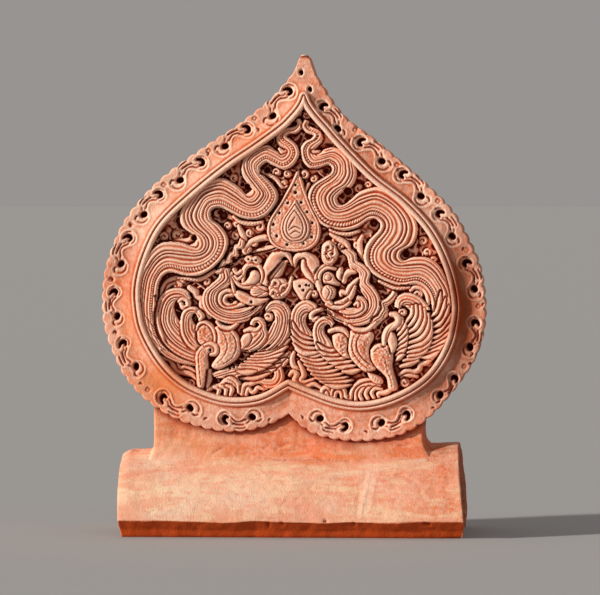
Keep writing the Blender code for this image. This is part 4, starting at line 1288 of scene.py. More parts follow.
CLOUDS: list[Mark] = [
    # Along the foot of the field, from left to right.
    Ridge([(161, 357), (165, 359), (170, 361), (173, 366), (178, 371), (185, 373), (192, 375), (197, 380)],
        (1, 1.6, 2.4, 2.6, 2.6, 2.4, 1.6), -7),
    Ridge([(177, 363), (180, 368), (185, 367), (191, 369), (197, 373)], (1.2, 1.8, 1.8, 1.6, 1), -7.5),
    Curl(191, 384, 4.4, -6, start=250),
    Bundle([(212, 373.5, 217, 378), (224, 369.5, 230, 378), (236, 366, 242, 379.5), (246, 364, 253, 379)],
        5, -3.4),
    Pit(230, 368.5, 1.1, -12), Pit(234, 367, 1.1, -12), Pit(238, 365.5, 1.1, -12), Pit(242, 364, 1.1, -12),
    Pad([(206, 389), (213, 385.5), (220, 383.5), (225, 378), (231, 376), (237, 379), (241.5, 385),
        (242, 393), (238, 393), (236, 387), (229, 386), (222, 387), (214, 388.5), (208, 392)], -4.4, 1.6),
    Ridge([(214, 387), (219, 389), (218, 394.5)], (1.6, 2, 1.2), -4.2),
    Ridge([(220.5, 386), (226, 388.5), (225.5, 394.5)], (1.6, 2, 1.2), -4.2),
    Ridge([(227, 385.5), (232, 388), (230.5, 395)], (1.6, 2, 1.2), -4.2),
    Cut([(228, 379), (234, 382), (237, 387), (236, 394)], 0.8, 2),
    Ridge([(242, 394), (244, 386), (250, 384.5), (258, 381.5), (263, 383), (266, 388)],
        (1.4, 2.4, 2, 2, 2.2, 1.4), -5),
    Ridge([(246, 394.5), (248.5, 388.5), (252, 392), (255, 391), (258, 387.5), (264, 389)],
        (1.2, 1.8, 1.8, 1.6, 1.8, 1.2), -5.2),
    Bundle([(260, 378.5, 262, 383), (267, 379.5, 268, 388), (272, 379.5, 278, 386), (275, 374.5, 284, 378),
        (273, 368, 281, 366)], 4, -4),
    Ridge([(283, 364), (286, 359), (284, 354)], (2.4, 2.8, 1.4), -6), Curl(289, 354, 3.4, -6),
    Ridge([(294, 352), (292, 359), (294, 366), (300, 369)], (1.2, 2.2, 2.4, 1.4), -6),
    Ridge([(299, 362), (302, 368), (304, 375), (301, 380), (306, 382), (314, 379)],
        (1.2, 2.2, 2.4, 2, 1.8, 1), -6),
    Ridge([(290, 375), (293, 372), (297, 374), (295, 380), (299, 385), (306, 387), (314, 384), (322, 388)],
        (1.6, 2.6, 2.6, 2.4, 2.4, 2.2, 1.2), -6.2),
    Ridge([(305, 391), (313, 391), (321, 393), (327, 388), (331, 392), (333, 398)],
        (1, 1.8, 2.2, 2.2, 2, 1.2), -5.6),
    Ridge([(321.5, 396), (323, 389.5), (327, 387.5), (330.5, 391.5), (331.5, 397.5)], (1.4, 2, 2.2, 2, 1.2),
        -3.6),
    Ridge([(325, 397), (327, 392), (329, 397)], (1, 1.4, 1), -4.4),
    Ridge([(332, 394), (334, 388.5), (339.5, 387), (344, 389.5), (345.5, 395), (349, 397), (351, 392.5)],
        (1.4, 2, 2.2, 2, 2, 1.8, 1), -3.6),
    Ridge([(335, 397.5), (336.5, 392), (341, 392), (342, 397.5)], (1, 1.6, 1.6, 1), -4.4),
    Ridge([(351, 398), (353, 390), (359, 383), (367, 380), (373, 380)], (1.4, 2, 2.2, 2, 1.2), -5),
    Ridge([(356, 399), (357, 391), (363, 386), (371, 384), (380, 385)], (1.4, 2, 2.2, 2, 1.2), -5.4),
    Ridge([(362, 399), (360, 394), (363, 389), (368, 388)], (1.4, 1.8, 1.8, 1.2), -5.2),
    Ridge([(368, 398), (366, 393), (369, 388), (375, 388)], (1.4, 1.8, 1.8, 1.2), -5.2),
    Ridge([(374, 397), (372, 392), (376, 388), (382, 389)], (1.4, 1.8, 1.8, 1.2), -5.2),
    Ridge([(392, 389), (386, 392), (379, 393), (379, 396)], (1.6, 2.2, 2.2, 1.2), -4.4),
    Ridge([(400, 374), (407, 370.5), (414, 371.5), (419, 369), (421, 364), (427, 362), (433, 357)],
        (1.4, 2.2, 2.2, 2.2, 2.2, 2, 1.2), -6),
    Ridge([(402, 377), (409, 375), (417, 376)], (1.2, 2, 1.2), -6.5), Curl(405, 382, 4.8, -5.4, start=20),
]

BACKGROUND: list[Mark] = [
    # Buds and stems in the ground between the figures.
    Curl(176, 235, 5.8, -9), Curl(163, 237, 4.8, -10, start=200), Curl(233, 178, 4.6, -10, start=90),
    Curl(216, 214, 4, -12, hand=-1), Curl(259, 227, 5.4, -11, start=250), Curl(283, 184, 4.8, -9, start=30),
    Curl(304, 174, 4.8, -7, start=120, hand=-1), Curl(313, 179, 4, -9, start=300),
    Curl(276, 172, 4.4, -8, start=160), Curl(287, 174, 4, -8, start=280, hand=-1),
    Curl(358, 188, 4.4, -11, start=60), Curl(368, 185, 3.8, -9, start=190),
    Curl(366, 176, 3.6, -10, hand=-1), Curl(423, 241, 4.6, -9, start=220),
    Curl(427, 252, 4.2, -8, start=40, hand=-1), Curl(433, 259, 3.2, -8), Curl(335, 241, 4.6, -8, start=310),
    Curl(341, 246, 4.2, -8, start=100), Curl(357, 245, 4.6, -10),
    Curl(235, 236, 4.6, -10, start=240, hand=-1), Curl(249, 233, 4.4, -9, start=70),
    Curl(227, 226, 4, -9, start=180), Curl(236, 224, 3.8, -9, start=330), Curl(246, 245, 3.6, -8),
    Ridge([(189, 288), (194, 292), (196, 297), (202, 300), (201, 306), (206, 310), (209, 317)],
        (2.2, 3, 2, 3.2, 2.2, 3.2, 2), -6),
    Pit(209.5, 314, 1.2, -12), Curl(177, 285, 5.4, -8, turns=1.6, start=200),
    Curl(418, 294, 5.2, -6, turns=1.4, start=300),
    Ridge([(246, 196), (251.5, 194.5), (254, 189.5)], (1.4, 3, 1.2), -1),
    Ridge([(190, 247), (195.5, 246), (198, 241)], (1.4, 3, 1.2), 0),
    Ridge([(279, 149), (283, 152.5), (287, 151)], (1.2, 2.4, 1.2), 0),
    Ridge([(309, 147), (313, 152), (318, 152)], (1.2, 2.4, 1.2), -1), Curl(305, 115, 4.2, -9),
    Curl(298, 113, 3.4, -10, start=140), Curl(268, 219, 4.2, -11, start=200),
    Curl(350, 207, 4, -11, start=80), Curl(380, 237, 4.4, -11, start=10), Curl(386, 246, 4, -11, start=200),
    Curl(196, 200, 4.4, -11, start=260), Curl(200, 216, 4, -11, start=90), Curl(151, 245, 4, -11),
    Curl(206, 282, 4.4, -10, start=230),
    Ridge([(160, 297), (162, 288), (168, 281), (177, 278), (183, 282)], (1.4, 2, 2.2, 2, 1.2), -7),
    Ridge([(165, 292), (168, 286), (174, 283)], (1.2, 1.6, 1), -7.4),
    Ridge([(168, 246), (176, 241), (186, 241), (194, 236)], (1.4, 2.4, 2.4, 1.2), -9),
    Ridge([(238, 226), (241, 233), (244, 240), (240, 246)], (1.6, 2.6, 2.4, 1.2), -8),
    Ridge([(362, 236), (359, 244), (361, 254), (366, 262)], (1.4, 2.6, 2.4, 1.4), -8),
    Ridge([(330, 234), (337, 238), (345, 243), (349, 249)], (1.4, 2.6, 2.6, 1.4), -8),
    Ridge([(411, 290), (415, 287), (422, 288), (427, 294), (428, 303), (424, 307)],
        (1.4, 2.2, 2.2, 2, 1.8, 1), -4),
]


# Middles of the scrolls' holes, from the tip down each side.
CURL_HOLES_LEFT: Line = [
    (289, 91.5), (247, 130), (201, 163), (159, 195), (128.5, 238), (114, 292), (123, 343), (163, 397),
    (225, 418),
]
DROP_HOLES_LEFT: Line = [
    (271.5, 118), (223, 148), (178, 182), (142, 216.5), (120, 266), (117, 318), (137, 368), (192, 408),
    (254, 416),
]
CURL_HOLES_RIGHT: Line = [
    (321, 107), (359, 143), (401, 175), (438, 214), (465, 263), (474, 322), (454, 377), (407, 413),
    (346, 425),
]
DROP_HOLES_RIGHT: Line = [
    (337, 130.5), (382, 163), (421, 198), (452, 238), (474, 290.5), (469, 348), (439, 395), (380, 422),
    (319, 417),
]
TIP_HOLES: Line = [(300, 72), (309, 89)]
# One unit of the running scroll, drawn between the middles of its two holes.
SCROLL_CURL = (128.5, 238.0)
SCROLL_DROP = (120.0, 266.0)
SCROLL_LIPS: list[tuple[Line, float]] = [
    ([(119.5, 240), (121, 234.5), (126, 230.6), (131.5, 231), (135.5, 235), (136, 240), (133, 244.5),
        (127, 247), (121.8, 250), (121.5, 255), (125, 260.5)], 1.2),
    ([(112.5, 274.5), (117, 276), (122, 275), (126.5, 271), (127.5, 265), (125, 260.5)], 1.1),
    ([(114, 244), (111.5, 250), (111, 255), (113.8, 258.5)], 1),
]
SCROLL_GROOVES: list[tuple[Line, float, float]] = [
    ([(121.3, 237.5), (122.6, 234.4), (126, 232.2), (130.5, 232)], 1, 4.5),
    ([(133.6, 236.5), (134.2, 239.5), (133, 242.2), (130.3, 244)], 0.8, 3.5),
    ([(125.2, 240), (124.8, 242.6), (122, 243.9), (119, 243.6)], 0.8, 3.5),
    ([(128.5, 243), (126, 244.9), (122.5, 246.4), (120.2, 248.8), (119.2, 252), (120, 257)], 1.1, 5),
    ([(120.2, 244.6), (118, 247.5), (116.6, 250.5), (115.4, 253.6)], 1.5, 5.5),
    ([(115.2, 244.4), (113.6, 248), (112.2, 252), (112, 254.6)], 0.9, 4.5),
    ([(115.8, 257.6), (117, 261.5), (116.6, 264)], 1, 5),
    ([(118.6, 256.8), (120, 260.5), (120.4, 262)], 0.9, 4),
    ([(125.6, 264), (125.5, 268), (123.6, 271.4), (120.4, 273.1), (116.6, 272.6)], 0.8, 3.5),
    ([(109.6, 279), (111.2, 279.2), (111.6, 281.4)], 0.9, 4.5),
    ([(117.4, 266.8), (114.6, 267.6), (113.2, 269.6), (114.2, 272.4)], 1, 5.5),
]
SCROLL_HOLES: list[tuple[Line, tuple[float, ...]]] = [
    ([(122.3, 238), (125, 236.2), (128, 236.5), (129.5, 238.5), (128, 241)], (0.2, 0.8, 1.4, 1.2, 0.3)),
    ([(120.2, 263.6), (119, 264.8)], (2.3, 2.1)),
]
SCROLL_DEPTH = 26.0
# Steps outside the rim's middle line with heights, then what the border falls towards its edge.
RIM_PROFILE: Line = [
    (-4.8, 2.8), (-4.2, 5.4), (-3.2, 7.2), (-1.8, 7.9), (-0.4, 7.3), (0.4, 5.6), (0.9, 3.4), (1.5, 3),
    (2, 5.2), (2.8, 6.6), (3.7, 6), (4.3, 3.4), (4.9, 1.4), (6, 0.4),
]
BAND_SLOPE: Line = [(5, 0.6), (7, 0), (15, -3.6), (18, -4)]
ROSETTES: Line = [
    (355, 130), (397, 165), (438, 201), (467, 250), (479, 306), (465, 366), (254, 118.5), (208, 151),
    (163, 185), (130, 225), (110.5, 279.5), (115, 333), (148, 390),
]


@dataclass(frozen=True)
class Patch:
    """One soft patch of another colour, by its middle and reach on the sheet."""

    x: float
    y: float
    reach_x: float
    reach_y: float
    amount: float


# How far a patch's outline wanders in steps, over what size in steps and depth in metres, and the seed.
STAIN_WANDER = ((6.0, 17.0, 0.03, 41), (2.5, 6.0, 0.01, 42))
PATCHES = {
    "orange": [Patch(165, 385, 34, 30, 0.8), Patch(128, 330, 16, 30, 0.5), Patch(190, 448, 50, 14, 0.6),
        Patch(240, 140, 40, 20, 0.3), Patch(240, 512, 60, 8, 0.4), Patch(430, 495, 16, 20, 0.3),
        Patch(300, 380, 60, 14, 0.5), Patch(290, 458, 90, 4, 0.6)],
    # The umber patches at (462, 310) and (440, 385) are painted shade where the rim shades the right border,
    # the one at (250, 424) is painted shadow under the leaf's lower edge, and the one at (441, 451) is
    # painted shade on the crown beside the neck; the rest are stains.
    "umber": [Patch(462, 310, 17, 90, 1), Patch(440, 385, 30, 22, 0.7), Patch(122, 262, 16, 30, 0.3),
        Patch(250, 424, 60, 8, 0.3), Patch(355, 451, 14, 7, 0.35), Patch(441, 451, 20, 5, 0.4)],
    "chalk": [Patch(165, 495, 60, 30, 1), Patch(250, 495, 60, 26, 0.7), Patch(330, 505, 50, 16, 0.4),
        Patch(150, 460, 50, 12, 0.9), Patch(370, 495, 7, 24, 0.8), Patch(400, 485, 30, 10, 0.35),
        Patch(160, 170, 60, 60, 0.35), Patch(230, 440, 30, 6, 0.3)],
}


@dataclass(frozen=True)
class Stains:
    """All the colour patches, as painted values at points of the part."""

    sheet: Sheet

    def paint(self, points: Array) -> dict[str, Array]:
        """Paints points by where they lie on the sheet.

        Args:
            points: Points in the part's frame, one row each.

        Returns:
            One list of values for each tint.
        """
        columns, rows = self.sheet.read(points)
        wander = np.zeros(len(points))
        for amount, size, depth, seed in STAIN_WANDER:
            wander += amount * clay_noise(columns / size, points[:, 1] / depth, rows / size, seed)
        values = {tint: np.zeros(len(points)) for tint in PATCHES}
        for tint, patches in PATCHES.items():
            for patch in patches:
                across = (columns - patch.x + wander) / patch.reach_x
                down = (rows - patch.y + wander) / patch.reach_y
                amount = patch.amount * np.exp(-(across ** 2 + down ** 2))
                values[tint] = np.maximum(values[tint], amount)
        return values


@dataclass(frozen=True)
class Scar:
    """One groove or ridge in the tile's or the neck's face, by its line on the sheet and its rise."""

    line: Line
    half: float
    rise: float


SCARS = [
    Scar([(296, 481), (322, 476), (352, 471), (377, 468), (392, 465), (426, 459)], 2.2, 1.3),
    Scar([(371, 473), (369, 487), (366, 502), (364, 513)], 1.6, 1),
    Scar([(378, 476), (376, 490), (374, 505)], 1.3, 0.7),
    Scar([(362, 480), (362, 492), (360, 508)], 1.4, -0.6),
    Scar([(120, 474), (148, 472), (166, 468)], 1.4, -0.5),
    Scar([(119, 482), (140, 479), (158, 478)], 1.2, -0.6), Scar([(130, 452), (137, 452.5)], 1.3, -1.2),
    Scar([(329, 516.5), (329.6, 517.2)], 1.3, -4.5),
    Scar([(386, 478), (403, 474), (419, 481), (424, 492)], 1.5, -0.7),
    Scar([(402, 488), (412, 494), (425, 490), (431, 482)], 1.3, 0.8),
    Scar([(448, 474), (451, 480)], 1.2, -1), Scar([(436, 498), (446, 502)], 1.4, 0.7),
    Scar([(312, 486), (318, 479)], 1, -0.9), Scar([(300, 496), (308, 489)], 1, -0.8),
    Scar([(322, 501), (330, 495), (334, 496)], 1, -0.8), Scar([(284, 504), (290, 497)], 1, -0.9),
    Scar([(262, 470), (269, 474)], 1.1, 0.8), Scar([(236, 489), (244, 492)], 1.2, -0.7),
    Scar([(205, 499), (216, 497)], 1.3, -0.6), Scar([(176, 507), (188, 510)], 1.1, -0.7),
    Scar([(154, 510), (160, 506)], 1, -0.8), Scar([(384, 508), (398, 510)], 1.1, -0.6),
    Scar([(345, 486), (352, 491)], 1.1, 0.7), Scar([(262, 515), (280, 514)], 1, -0.9),
    Scar([(272, 520), (273, 522)], 1.6, -2.4), Scar([(286, 518), (287, 520)], 1.4, -2),
    Scar([(357, 519), (358, 520)], 1.5, -2.2), Scar([(427, 519), (432, 520)], 1.4, -2.4),
    Scar([(213, 453), (219, 449), (223, 447)], 0.9, -1.6), Scar([(398, 445), (409, 443)], 0.9, -1.6),
    Scar([(262, 449), (270, 444)], 0.8, -1.2), Scar([(276, 449), (288, 442)], 0.9, -1.3),
    Scar([(284, 453), (300, 448)], 0.8, -1.1), Scar([(245, 453), (254, 449)], 0.8, -1),
    Scar([(160, 436), (188, 433), (226, 437)], 1.1, -0.7),
    Scar([(168, 445), (205, 447), (240, 443)], 1, -0.6), Scar([(162, 426), (184, 424)], 0.9, -0.6),
    Scar([(230, 440), (262, 438)], 1, 0.6), Scar([(300, 447), (340, 443), (385, 446)], 1.1, -0.8),
    Scar([(318, 452), (362, 449), (412, 452)], 1, -0.8), Scar([(335, 456), (372, 454), (400, 456)], 1, 0.8),
    Scar([(276, 459), (305, 458.5), (350, 460)], 1, -1.4),
    Scar([(170, 460), (205, 458), (270, 458)], 1, 0.7),
]


def scar_push(points: Array, sheet: Sheet) -> Array:
    """Rise of the scars at points of the tile or the neck.

    Args:
        points: Points in the part's frame.
        sheet: The sheet that the scars are drawn on.

    Returns:
        Millimetres outward, none on the back.
    """
    places = np.stack(sheet.read(points), axis=1)
    push = np.zeros(len(points))
    for scar in SCARS:
        line = smooth_line(scar.line, 12)
        reach = 3.0 * scar.half
        near = np.all((places > line.min(0) - reach) & (places < line.max(0) + reach), axis=1)
        near &= points[:, 1] < 0
        gap = np.min(np.linalg.norm(places[near, None] - line[None], axis=2), axis=1)
        push[near] += scar.rise * np.exp(-(gap / scar.half) ** 2)
    return push


@dataclass
class LeafLines:
    """The leaf's edge with its lobes, and the rim's middle and inner lines, from the tip to the cusp."""

    sheet: Sheet
    columns: int = 720
    lobe_pitch: float = 11.6
    lobe_height: float = 2.2
    rim_inset: float = 4.2
    tuck: float = 3.0
    plain_tip: float = 14.0
    tip_fade: float = 26.0
    cusp_fade: float = 20.0

    def edge(self, points: Line) -> Array:
        """One side of the scalloped edge at even places.

        Args:
            points: The edge's places, from the tip to the cusp.

        Returns:
            One place for each column.
        """
        line = even_line(smooth_line(points, 10), self.columns + 1)
        run = lengths_along(line)
        lobes = round(run[-1] / self.lobe_pitch)
        phase = np.abs(np.sin(math.pi * lobes * run / run[-1]))
        rise = self.lobe_height * (phase ** 0.7 - 0.55)
        rise *= np.clip((run - self.plain_tip) / self.tip_fade, 0, 1)
        rise *= np.clip((run[-1] - run) / self.cusp_fade, 0, 1)
        return line + outward_normals(line, self.sheet.centre) * rise[:, None]

    def rim(self, points: Line) -> tuple[Array, Array]:
        """One side of the rim's middle line and of its inner line.

        Args:
            points: The rim's places, from its tip to its cusp.

        Returns:
            The middle line and the inner line, one place for each column.
        """
        middle = even_line(smooth_line(points, 10), self.columns + 1)
        inner = middle - outward_normals(middle, self.sheet.centre) * self.rim_inset
        tip = middle[0] + (0.0, 2.3 * self.rim_inset)
        sign = np.sign(middle[self.columns // 2, 0] - tip[0])
        crossed = (inner[:, 0] - tip[0]) * sign < 0
        crossed &= np.arange(len(inner)) < self.columns // 3
        inner[crossed] = tip
        inner[0] = tip
        inner[-1] = middle[-1] + (0.3, -self.rim_inset)
        return middle, inner

    def ring(self, which: int) -> Array:
        """One of the rim's lines once round the leaf.

        Args:
            which: 0 for the middle line, 1 for the inner line.

        Returns:
            The line's points.
        """
        ring = np.vstack((self.rim(RIM_LEFT)[which][::6], self.rim(RIM_RIGHT)[which][::-6]))
        apart = np.hypot(*(ring - np.roll(ring, 1, axis=0)).T) > 0.05
        return ring[apart]

    def field_cells(self, relief: Relief) -> tuple[Array, Array]:
        """Finds the cells of a grid that lie in the sunk field.

        Args:
            relief: The surface with the grid.

        Returns:
            Columns of the cells' middles, and true for each cell in the field.
        """
        half = relief.cell / 2
        columns, rows = np.meshgrid(relief.columns[:-1] + half, relief.rows[:-1] + half)
        ring = self.ring(1)
        ring = ring + outward_normals(ring, self.sheet.centre) * self.tuck
        return columns, inside(ring, columns, rows)


# The crest tone is wear and painted highlight, the rust tone is bare red clay and painted shade in grooves,
# the dirt tone is dirt and painted shade, and the umber tone is stains and painted shade.
TONES = {
    "Crest tone": (1.0, 0.65, 0.49), "Body tone": (0.80, 0.205, 0.082), "Dirt tone": (0.22, 0.015, 0.003),
    "Orange tone": (0.78, 0.22, 0.055), "Umber tone": (0.34, 0.072, 0.024), "Chalk tone": (0.91, 0.65, 0.48),
    "Rust tone": (0.60, 0.085, 0.014), "Cream tone": (0.93, 0.63, 0.40), "Blush tone": (0.88, 0.35, 0.22),
}
# Tone of each thin wash, its clouds' scale, the noise where it starts and is full, and the most of it.
WASHES = (
    ("Cream", 13.0, (0.47, 0.62), 0.6), ("Blush", 24.0, (0.50, 0.62), 0.6),
    ("Cream", 60.0, (0.52, 0.62), 0.5), ("Blush", 110.0, (0.54, 0.64), 0.6),
)
MASKS = ("worn", "deep", "orange", "umber", "chalk", "wash", "rust")


@dataclass(frozen=True)
class ClayFinish:
    """Fired clay: orange-pink body, crests painted pale as wear and highlight, cream washes, and cuts
    painted red as shade and dark as dirt and shade.
    """

    name: str
    roughness: float = 0.85
    sheen_level: float = 0.15
    grain: float = 0.6
    grain_height: float = 0.0016

    def material(self) -> bpy.types.Material:
        """Mixes the finish.

        Returns:
            A material with a Principled shader.
        """
        material = bpy.data.materials.new(self.name)
        material.use_nodes = True
        tree = material.node_tree
        shader = tree.nodes["Principled BSDF"]
        shader.inputs["Roughness"].default_value = self.roughness
        shader.inputs["Metallic"].default_value = 0.0
        shader.inputs["Specular IOR Level"].default_value = self.sheen_level
        tone = tree.nodes.new("ShaderNodeGroup")
        tone.node_tree = clay_tone_group()
        for socket, colour in TONES.items():
            tone.inputs[socket].default_value = (*colour, 1.0)
        for key in MASKS:
            attribute = tree.nodes.new("ShaderNodeAttribute")
            attribute.attribute_name = key
            tree.links.new(attribute.outputs["Fac"], tone.inputs[key.capitalize()])
        tree.links.new(tone.outputs["Color"], shader.inputs["Base Color"])
        grain = tree.nodes.new("ShaderNodeGroup")
        grain.node_tree = clay_grain_group()
        bump = tree.nodes.new("ShaderNodeBump")
        bump.inputs["Strength"].default_value = self.grain
        bump.inputs["Distance"].default_value = self.grain_height
        tree.links.new(grain.outputs["Height"], bump.inputs["Height"])
        tree.links.new(bump.outputs["Normal"], shader.inputs["Normal"])
        return material


def new_group(name: str, inputs: dict[str, str], outputs: dict[str, str]) -> Tree:
    """Makes an empty shader node group with its sockets.

    Args:
        name: The group's name.
        inputs: Socket types by input name.
        outputs: Socket types by output name.

    Returns:
        The group.
    """
    group = bpy.data.node_groups.new(name, "ShaderNodeTree")
    for socket, kind in inputs.items():
        group.interface.new_socket(name=socket, in_out="INPUT", socket_type=kind)
    for socket, kind in outputs.items():
        group.interface.new_socket(name=socket, in_out="OUTPUT", socket_type=kind)
    group.nodes.new("NodeGroupInput")
    group.nodes.new("NodeGroupOutput")
    return group


def cloud_mask(group: Tree, vector: Socket, scale: float, detail: float,
               band: tuple[float, float], span: tuple[float, float]) -> Socket:
    """Makes a mask from cloudy noise inside a node group.

    Args:
        group: The group.
        vector: Socket of the coordinates.
        scale: The noise's scale.
        detail: The noise's detail.
        band: Noise values where the mask starts and is full.
        span: The mask's values there.

    Returns:
        The mask's socket.
    """
    noise = group.nodes.new("ShaderNodeTexNoise")
    noise.inputs["Scale"].default_value = scale
    noise.inputs["Detail"].default_value = detail
    group.links.new(vector, noise.inputs["Vector"])
    ramp = group.nodes.new("ShaderNodeMapRange")
    for socket, number in zip(("From Min", "From Max", "To Min", "To Max"), (*band, *span)):
        ramp.inputs[socket].default_value = number
    group.links.new(noise.outputs["Fac"], ramp.inputs["Value"])
    return ramp.outputs["Result"]


def reckoned(group: Tree, operation: str, first: Socket, second: Socket) -> Socket:
    """Clamped sum or product of two values inside a node group.

    Args:
        group: The group.
        operation: ADD or MULTIPLY.
        first: Socket of one value.
        second: Socket of the other.

    Returns:
        The result's socket.
    """
    node = group.nodes.new("ShaderNodeMath")
    node.operation = operation
    node.use_clamp = True
    group.links.new(first, node.inputs[0])
    group.links.new(second, node.inputs[1])
    return node.outputs["Value"]


def washed(group: Tree, share: Socket, below: Socket, above: Socket) -> Socket:
    """Lays one colour over another inside a node group.

    Args:
        group: The group.
        share: Socket of how much of the upper colour shows.
        below: Socket of the lower colour.
        above: Socket of the upper colour.

    Returns:
        The mixed colour's socket.
    """
    node = group.nodes.new("ShaderNodeMix")
    node.data_type = "RGBA"
    group.links.new(share, node.inputs["Factor"])
    group.links.new(below, node.inputs["A"])
    group.links.new(above, node.inputs["B"])
    return node.outputs["Result"]


def clay_tone_group() -> Tree:
    """Mixes the clay's colours by wear and painted highlight, by stains and painted shade, by washes, and by
    depth as painted shade and dirt.

    Returns:
        The node group, made once.
    """
    if "clay_tone" in bpy.data.node_groups:
        return bpy.data.node_groups["clay_tone"]
    inputs = {tone: "NodeSocketColor" for tone in TONES}
    inputs.update({mask.capitalize(): "NodeSocketFloat" for mask in MASKS})
    group = new_group("clay_tone", inputs, {"Color": "NodeSocketColor"})
    given = group.nodes["Group Input"].outputs
    place = group.nodes.new("ShaderNodeTexCoord").outputs["Object"]
    drawn_out = group.nodes.new("ShaderNodeMapping")
    drawn_out.inputs["Scale"].default_value = (0.45, 1.0, 1.5)
    group.links.new(place, drawn_out.inputs["Vector"])
    along = drawn_out.outputs["Vector"]
    mottle = cloud_mask(group, place, 14.0, 6.0, (0.3, 0.7), (0.0, 0.55))
    flecks = cloud_mask(group, place, 150.0, 3.0, (0.35, 0.65), (-0.2, 0.2))
    # Crests are painted pale as wear and highlight, with random mottle and flecks.
    worn = reckoned(group, "ADD", reckoned(group, "ADD", given["Worn"], mottle), flecks)
    tone = washed(group, worn, given["Body tone"], given["Crest tone"])
    # Stains, the umber among them also painted shade.
    for stain in ("Orange", "Umber", "Chalk"):
        tone = washed(group, given[stain], tone, given[f"{stain} tone"])
    for wash, scale, band, most in WASHES:
        cloud = cloud_mask(group, along, scale, 7.0, band, (0.0, most))
        tone = washed(group, reckoned(group, "MULTIPLY", cloud, given["Wash"]), tone, given[f"{wash} tone"])
    # Grooves take a red painted shade, and the deep takes dirt and painted shade.
    for mask, layer in (("Rust", "Rust"), ("Deep", "Dirt")):
        tone = washed(group, given[mask], tone, given[f"{layer} tone"])
    group.links.new(tone, group.nodes["Group Output"].inputs["Color"])
    return group


def clay_grain_group() -> Tree:
    """Gives the height of the clay's fine sandy grain.

    Returns:
        The node group, made once.
    """
    if "clay_grain" in bpy.data.node_groups:
        return bpy.data.node_groups["clay_grain"]
    group = new_group("clay_grain", {}, {"Height": "NodeSocketFloat"})
    nodes, links = group.nodes, group.links
    place = nodes.new("ShaderNodeTexCoord")
    fine = cloud_mask(group, place.outputs["Object"], 420.0, 5.0, (0.0, 1.0), (0.0, 1.0))
    coarse = cloud_mask(group, place.outputs["Object"], 90.0, 4.0, (0.25, 0.75), (0.0, 0.55))
    both = nodes.new("ShaderNodeMath")
    both.operation = "ADD"
    links.new(fine, both.inputs[0])
    links.new(coarse, both.inputs[1])
    links.new(both.outputs["Value"], nodes["Group Output"].inputs["Height"])
    return group


@dataclass
class GridSlab:
    """A closed body between a carved grid and a flat bed, cut out of the grid by a mask of cells."""

    sheet: Sheet
    side: Side
    bed: float
    stains: Stains

    def skin(self, relief: Relief, cells: Array, values: dict[str, Array]) -> Skin:
        """Builds the body.

        Args:
            relief: The carved surface.
            cells: True for each cell of the grid that is kept.
            values: Painted values on the grid.

        Returns:
            The body's skin.
        """
        rows, columns = relief.heights.shape
        points = self.sheet.place(relief.columns[None, :], relief.rows[:, None], relief.heights, self.side)
        normals = lattice_normals(points) * -self.side.value
        normals *= np.sign(np.median(normals[..., 1])) * self.side.value
        number = np.arange(rows * columns).reshape(rows, columns)
        a = number[:-1, :-1][cells]
        b = number[:-1, 1:][cells]
        c = number[1:, 1:][cells]
        d = number[1:, :-1][cells]
        quads = np.stack((a, d, c, b), axis=1) if self.side is Side.FRONT else np.stack((a, b, c, d), axis=1)
        # The outline is made of the cell edges that no second cell shares.
        directed = np.concatenate([quads[:, [k, (k + 1) % 4]] for k in range(4)])
        keys = directed[:, 0] * rows * columns + directed[:, 1]
        backs = directed[:, 1] * rows * columns + directed[:, 0]
        rim = directed[~np.isin(keys, backs)]
        ring = ring_of(dict(zip(rim[:, 0].tolist(), rim[:, 1].tolist())))
        used = np.unique(quads)
        new = np.full(rows * columns, -1)
        new[used] = np.arange(len(used))
        top = points.reshape(-1, 3)[used]
        foot = points.reshape(-1, 3)[ring].copy()
        foot[:, 1] = self.bed
        below = len(used) + np.arange(len(ring))
        over = new[ring]
        skirt = np.stack((over, below, np.roll(below, -1), np.roll(over, -1)), axis=1)
        flat = np.tile((0.0, -self.side.value, 0.0), (len(ring), 1))
        bare = np.zeros(len(ring))
        painted = {key: np.concatenate((grid.ravel()[used], bare)) for key, grid in values.items()}
        painted.update(self.stains.paint(np.vstack((top, foot))))
        return Skin(np.vstack((top, foot)), np.vstack((new[quads], skirt)),
                    np.vstack((normals.reshape(-1, 3)[used], flat)), painted, [below])


@dataclass
class CarvedField:
    """The sunk field with its two birds, tails, jewel and clouds, in a left and a right piece."""

    sheet: Sheet
    lines: LeafLines
    stains: Stains
    floor: float = -24.0
    split: float = 296.0
    relief: Relief = field(init=False)

    def __post_init__(self) -> None:
        """Lays the field's ground."""
        self.relief = Relief(*FIELD_BOX, self.floor)

    def carve(self) -> None:
        """Carves everything on the field."""
        relief = self.relief
        relief.roughen(7.0, 1.2, 1)
        relief.tracery(7.0, -15.0, 9.0, 51)
        for figure in (BACKGROUND, TAILS, CLOUDS, LEFT_BIRD, RIGHT_BIRD, JEWEL):
            for mark in figure:
                mark.work(relief)

    def build(self, material: bpy.types.Material) -> None:
        """Builds both pieces.

        Args:
            material: Their finish.
        """
        relief = self.relief
        values = relief.masks()
        columns, cells = self.lines.field_cells(relief)
        slab = GridSlab(self.sheet, Side.FRONT, 0.0, self.stains)
        for name, half in (("field_left", columns < self.split), ("field_right", columns >= self.split)):
            slab.skin(relief, cells & half, values).piece(name, material)


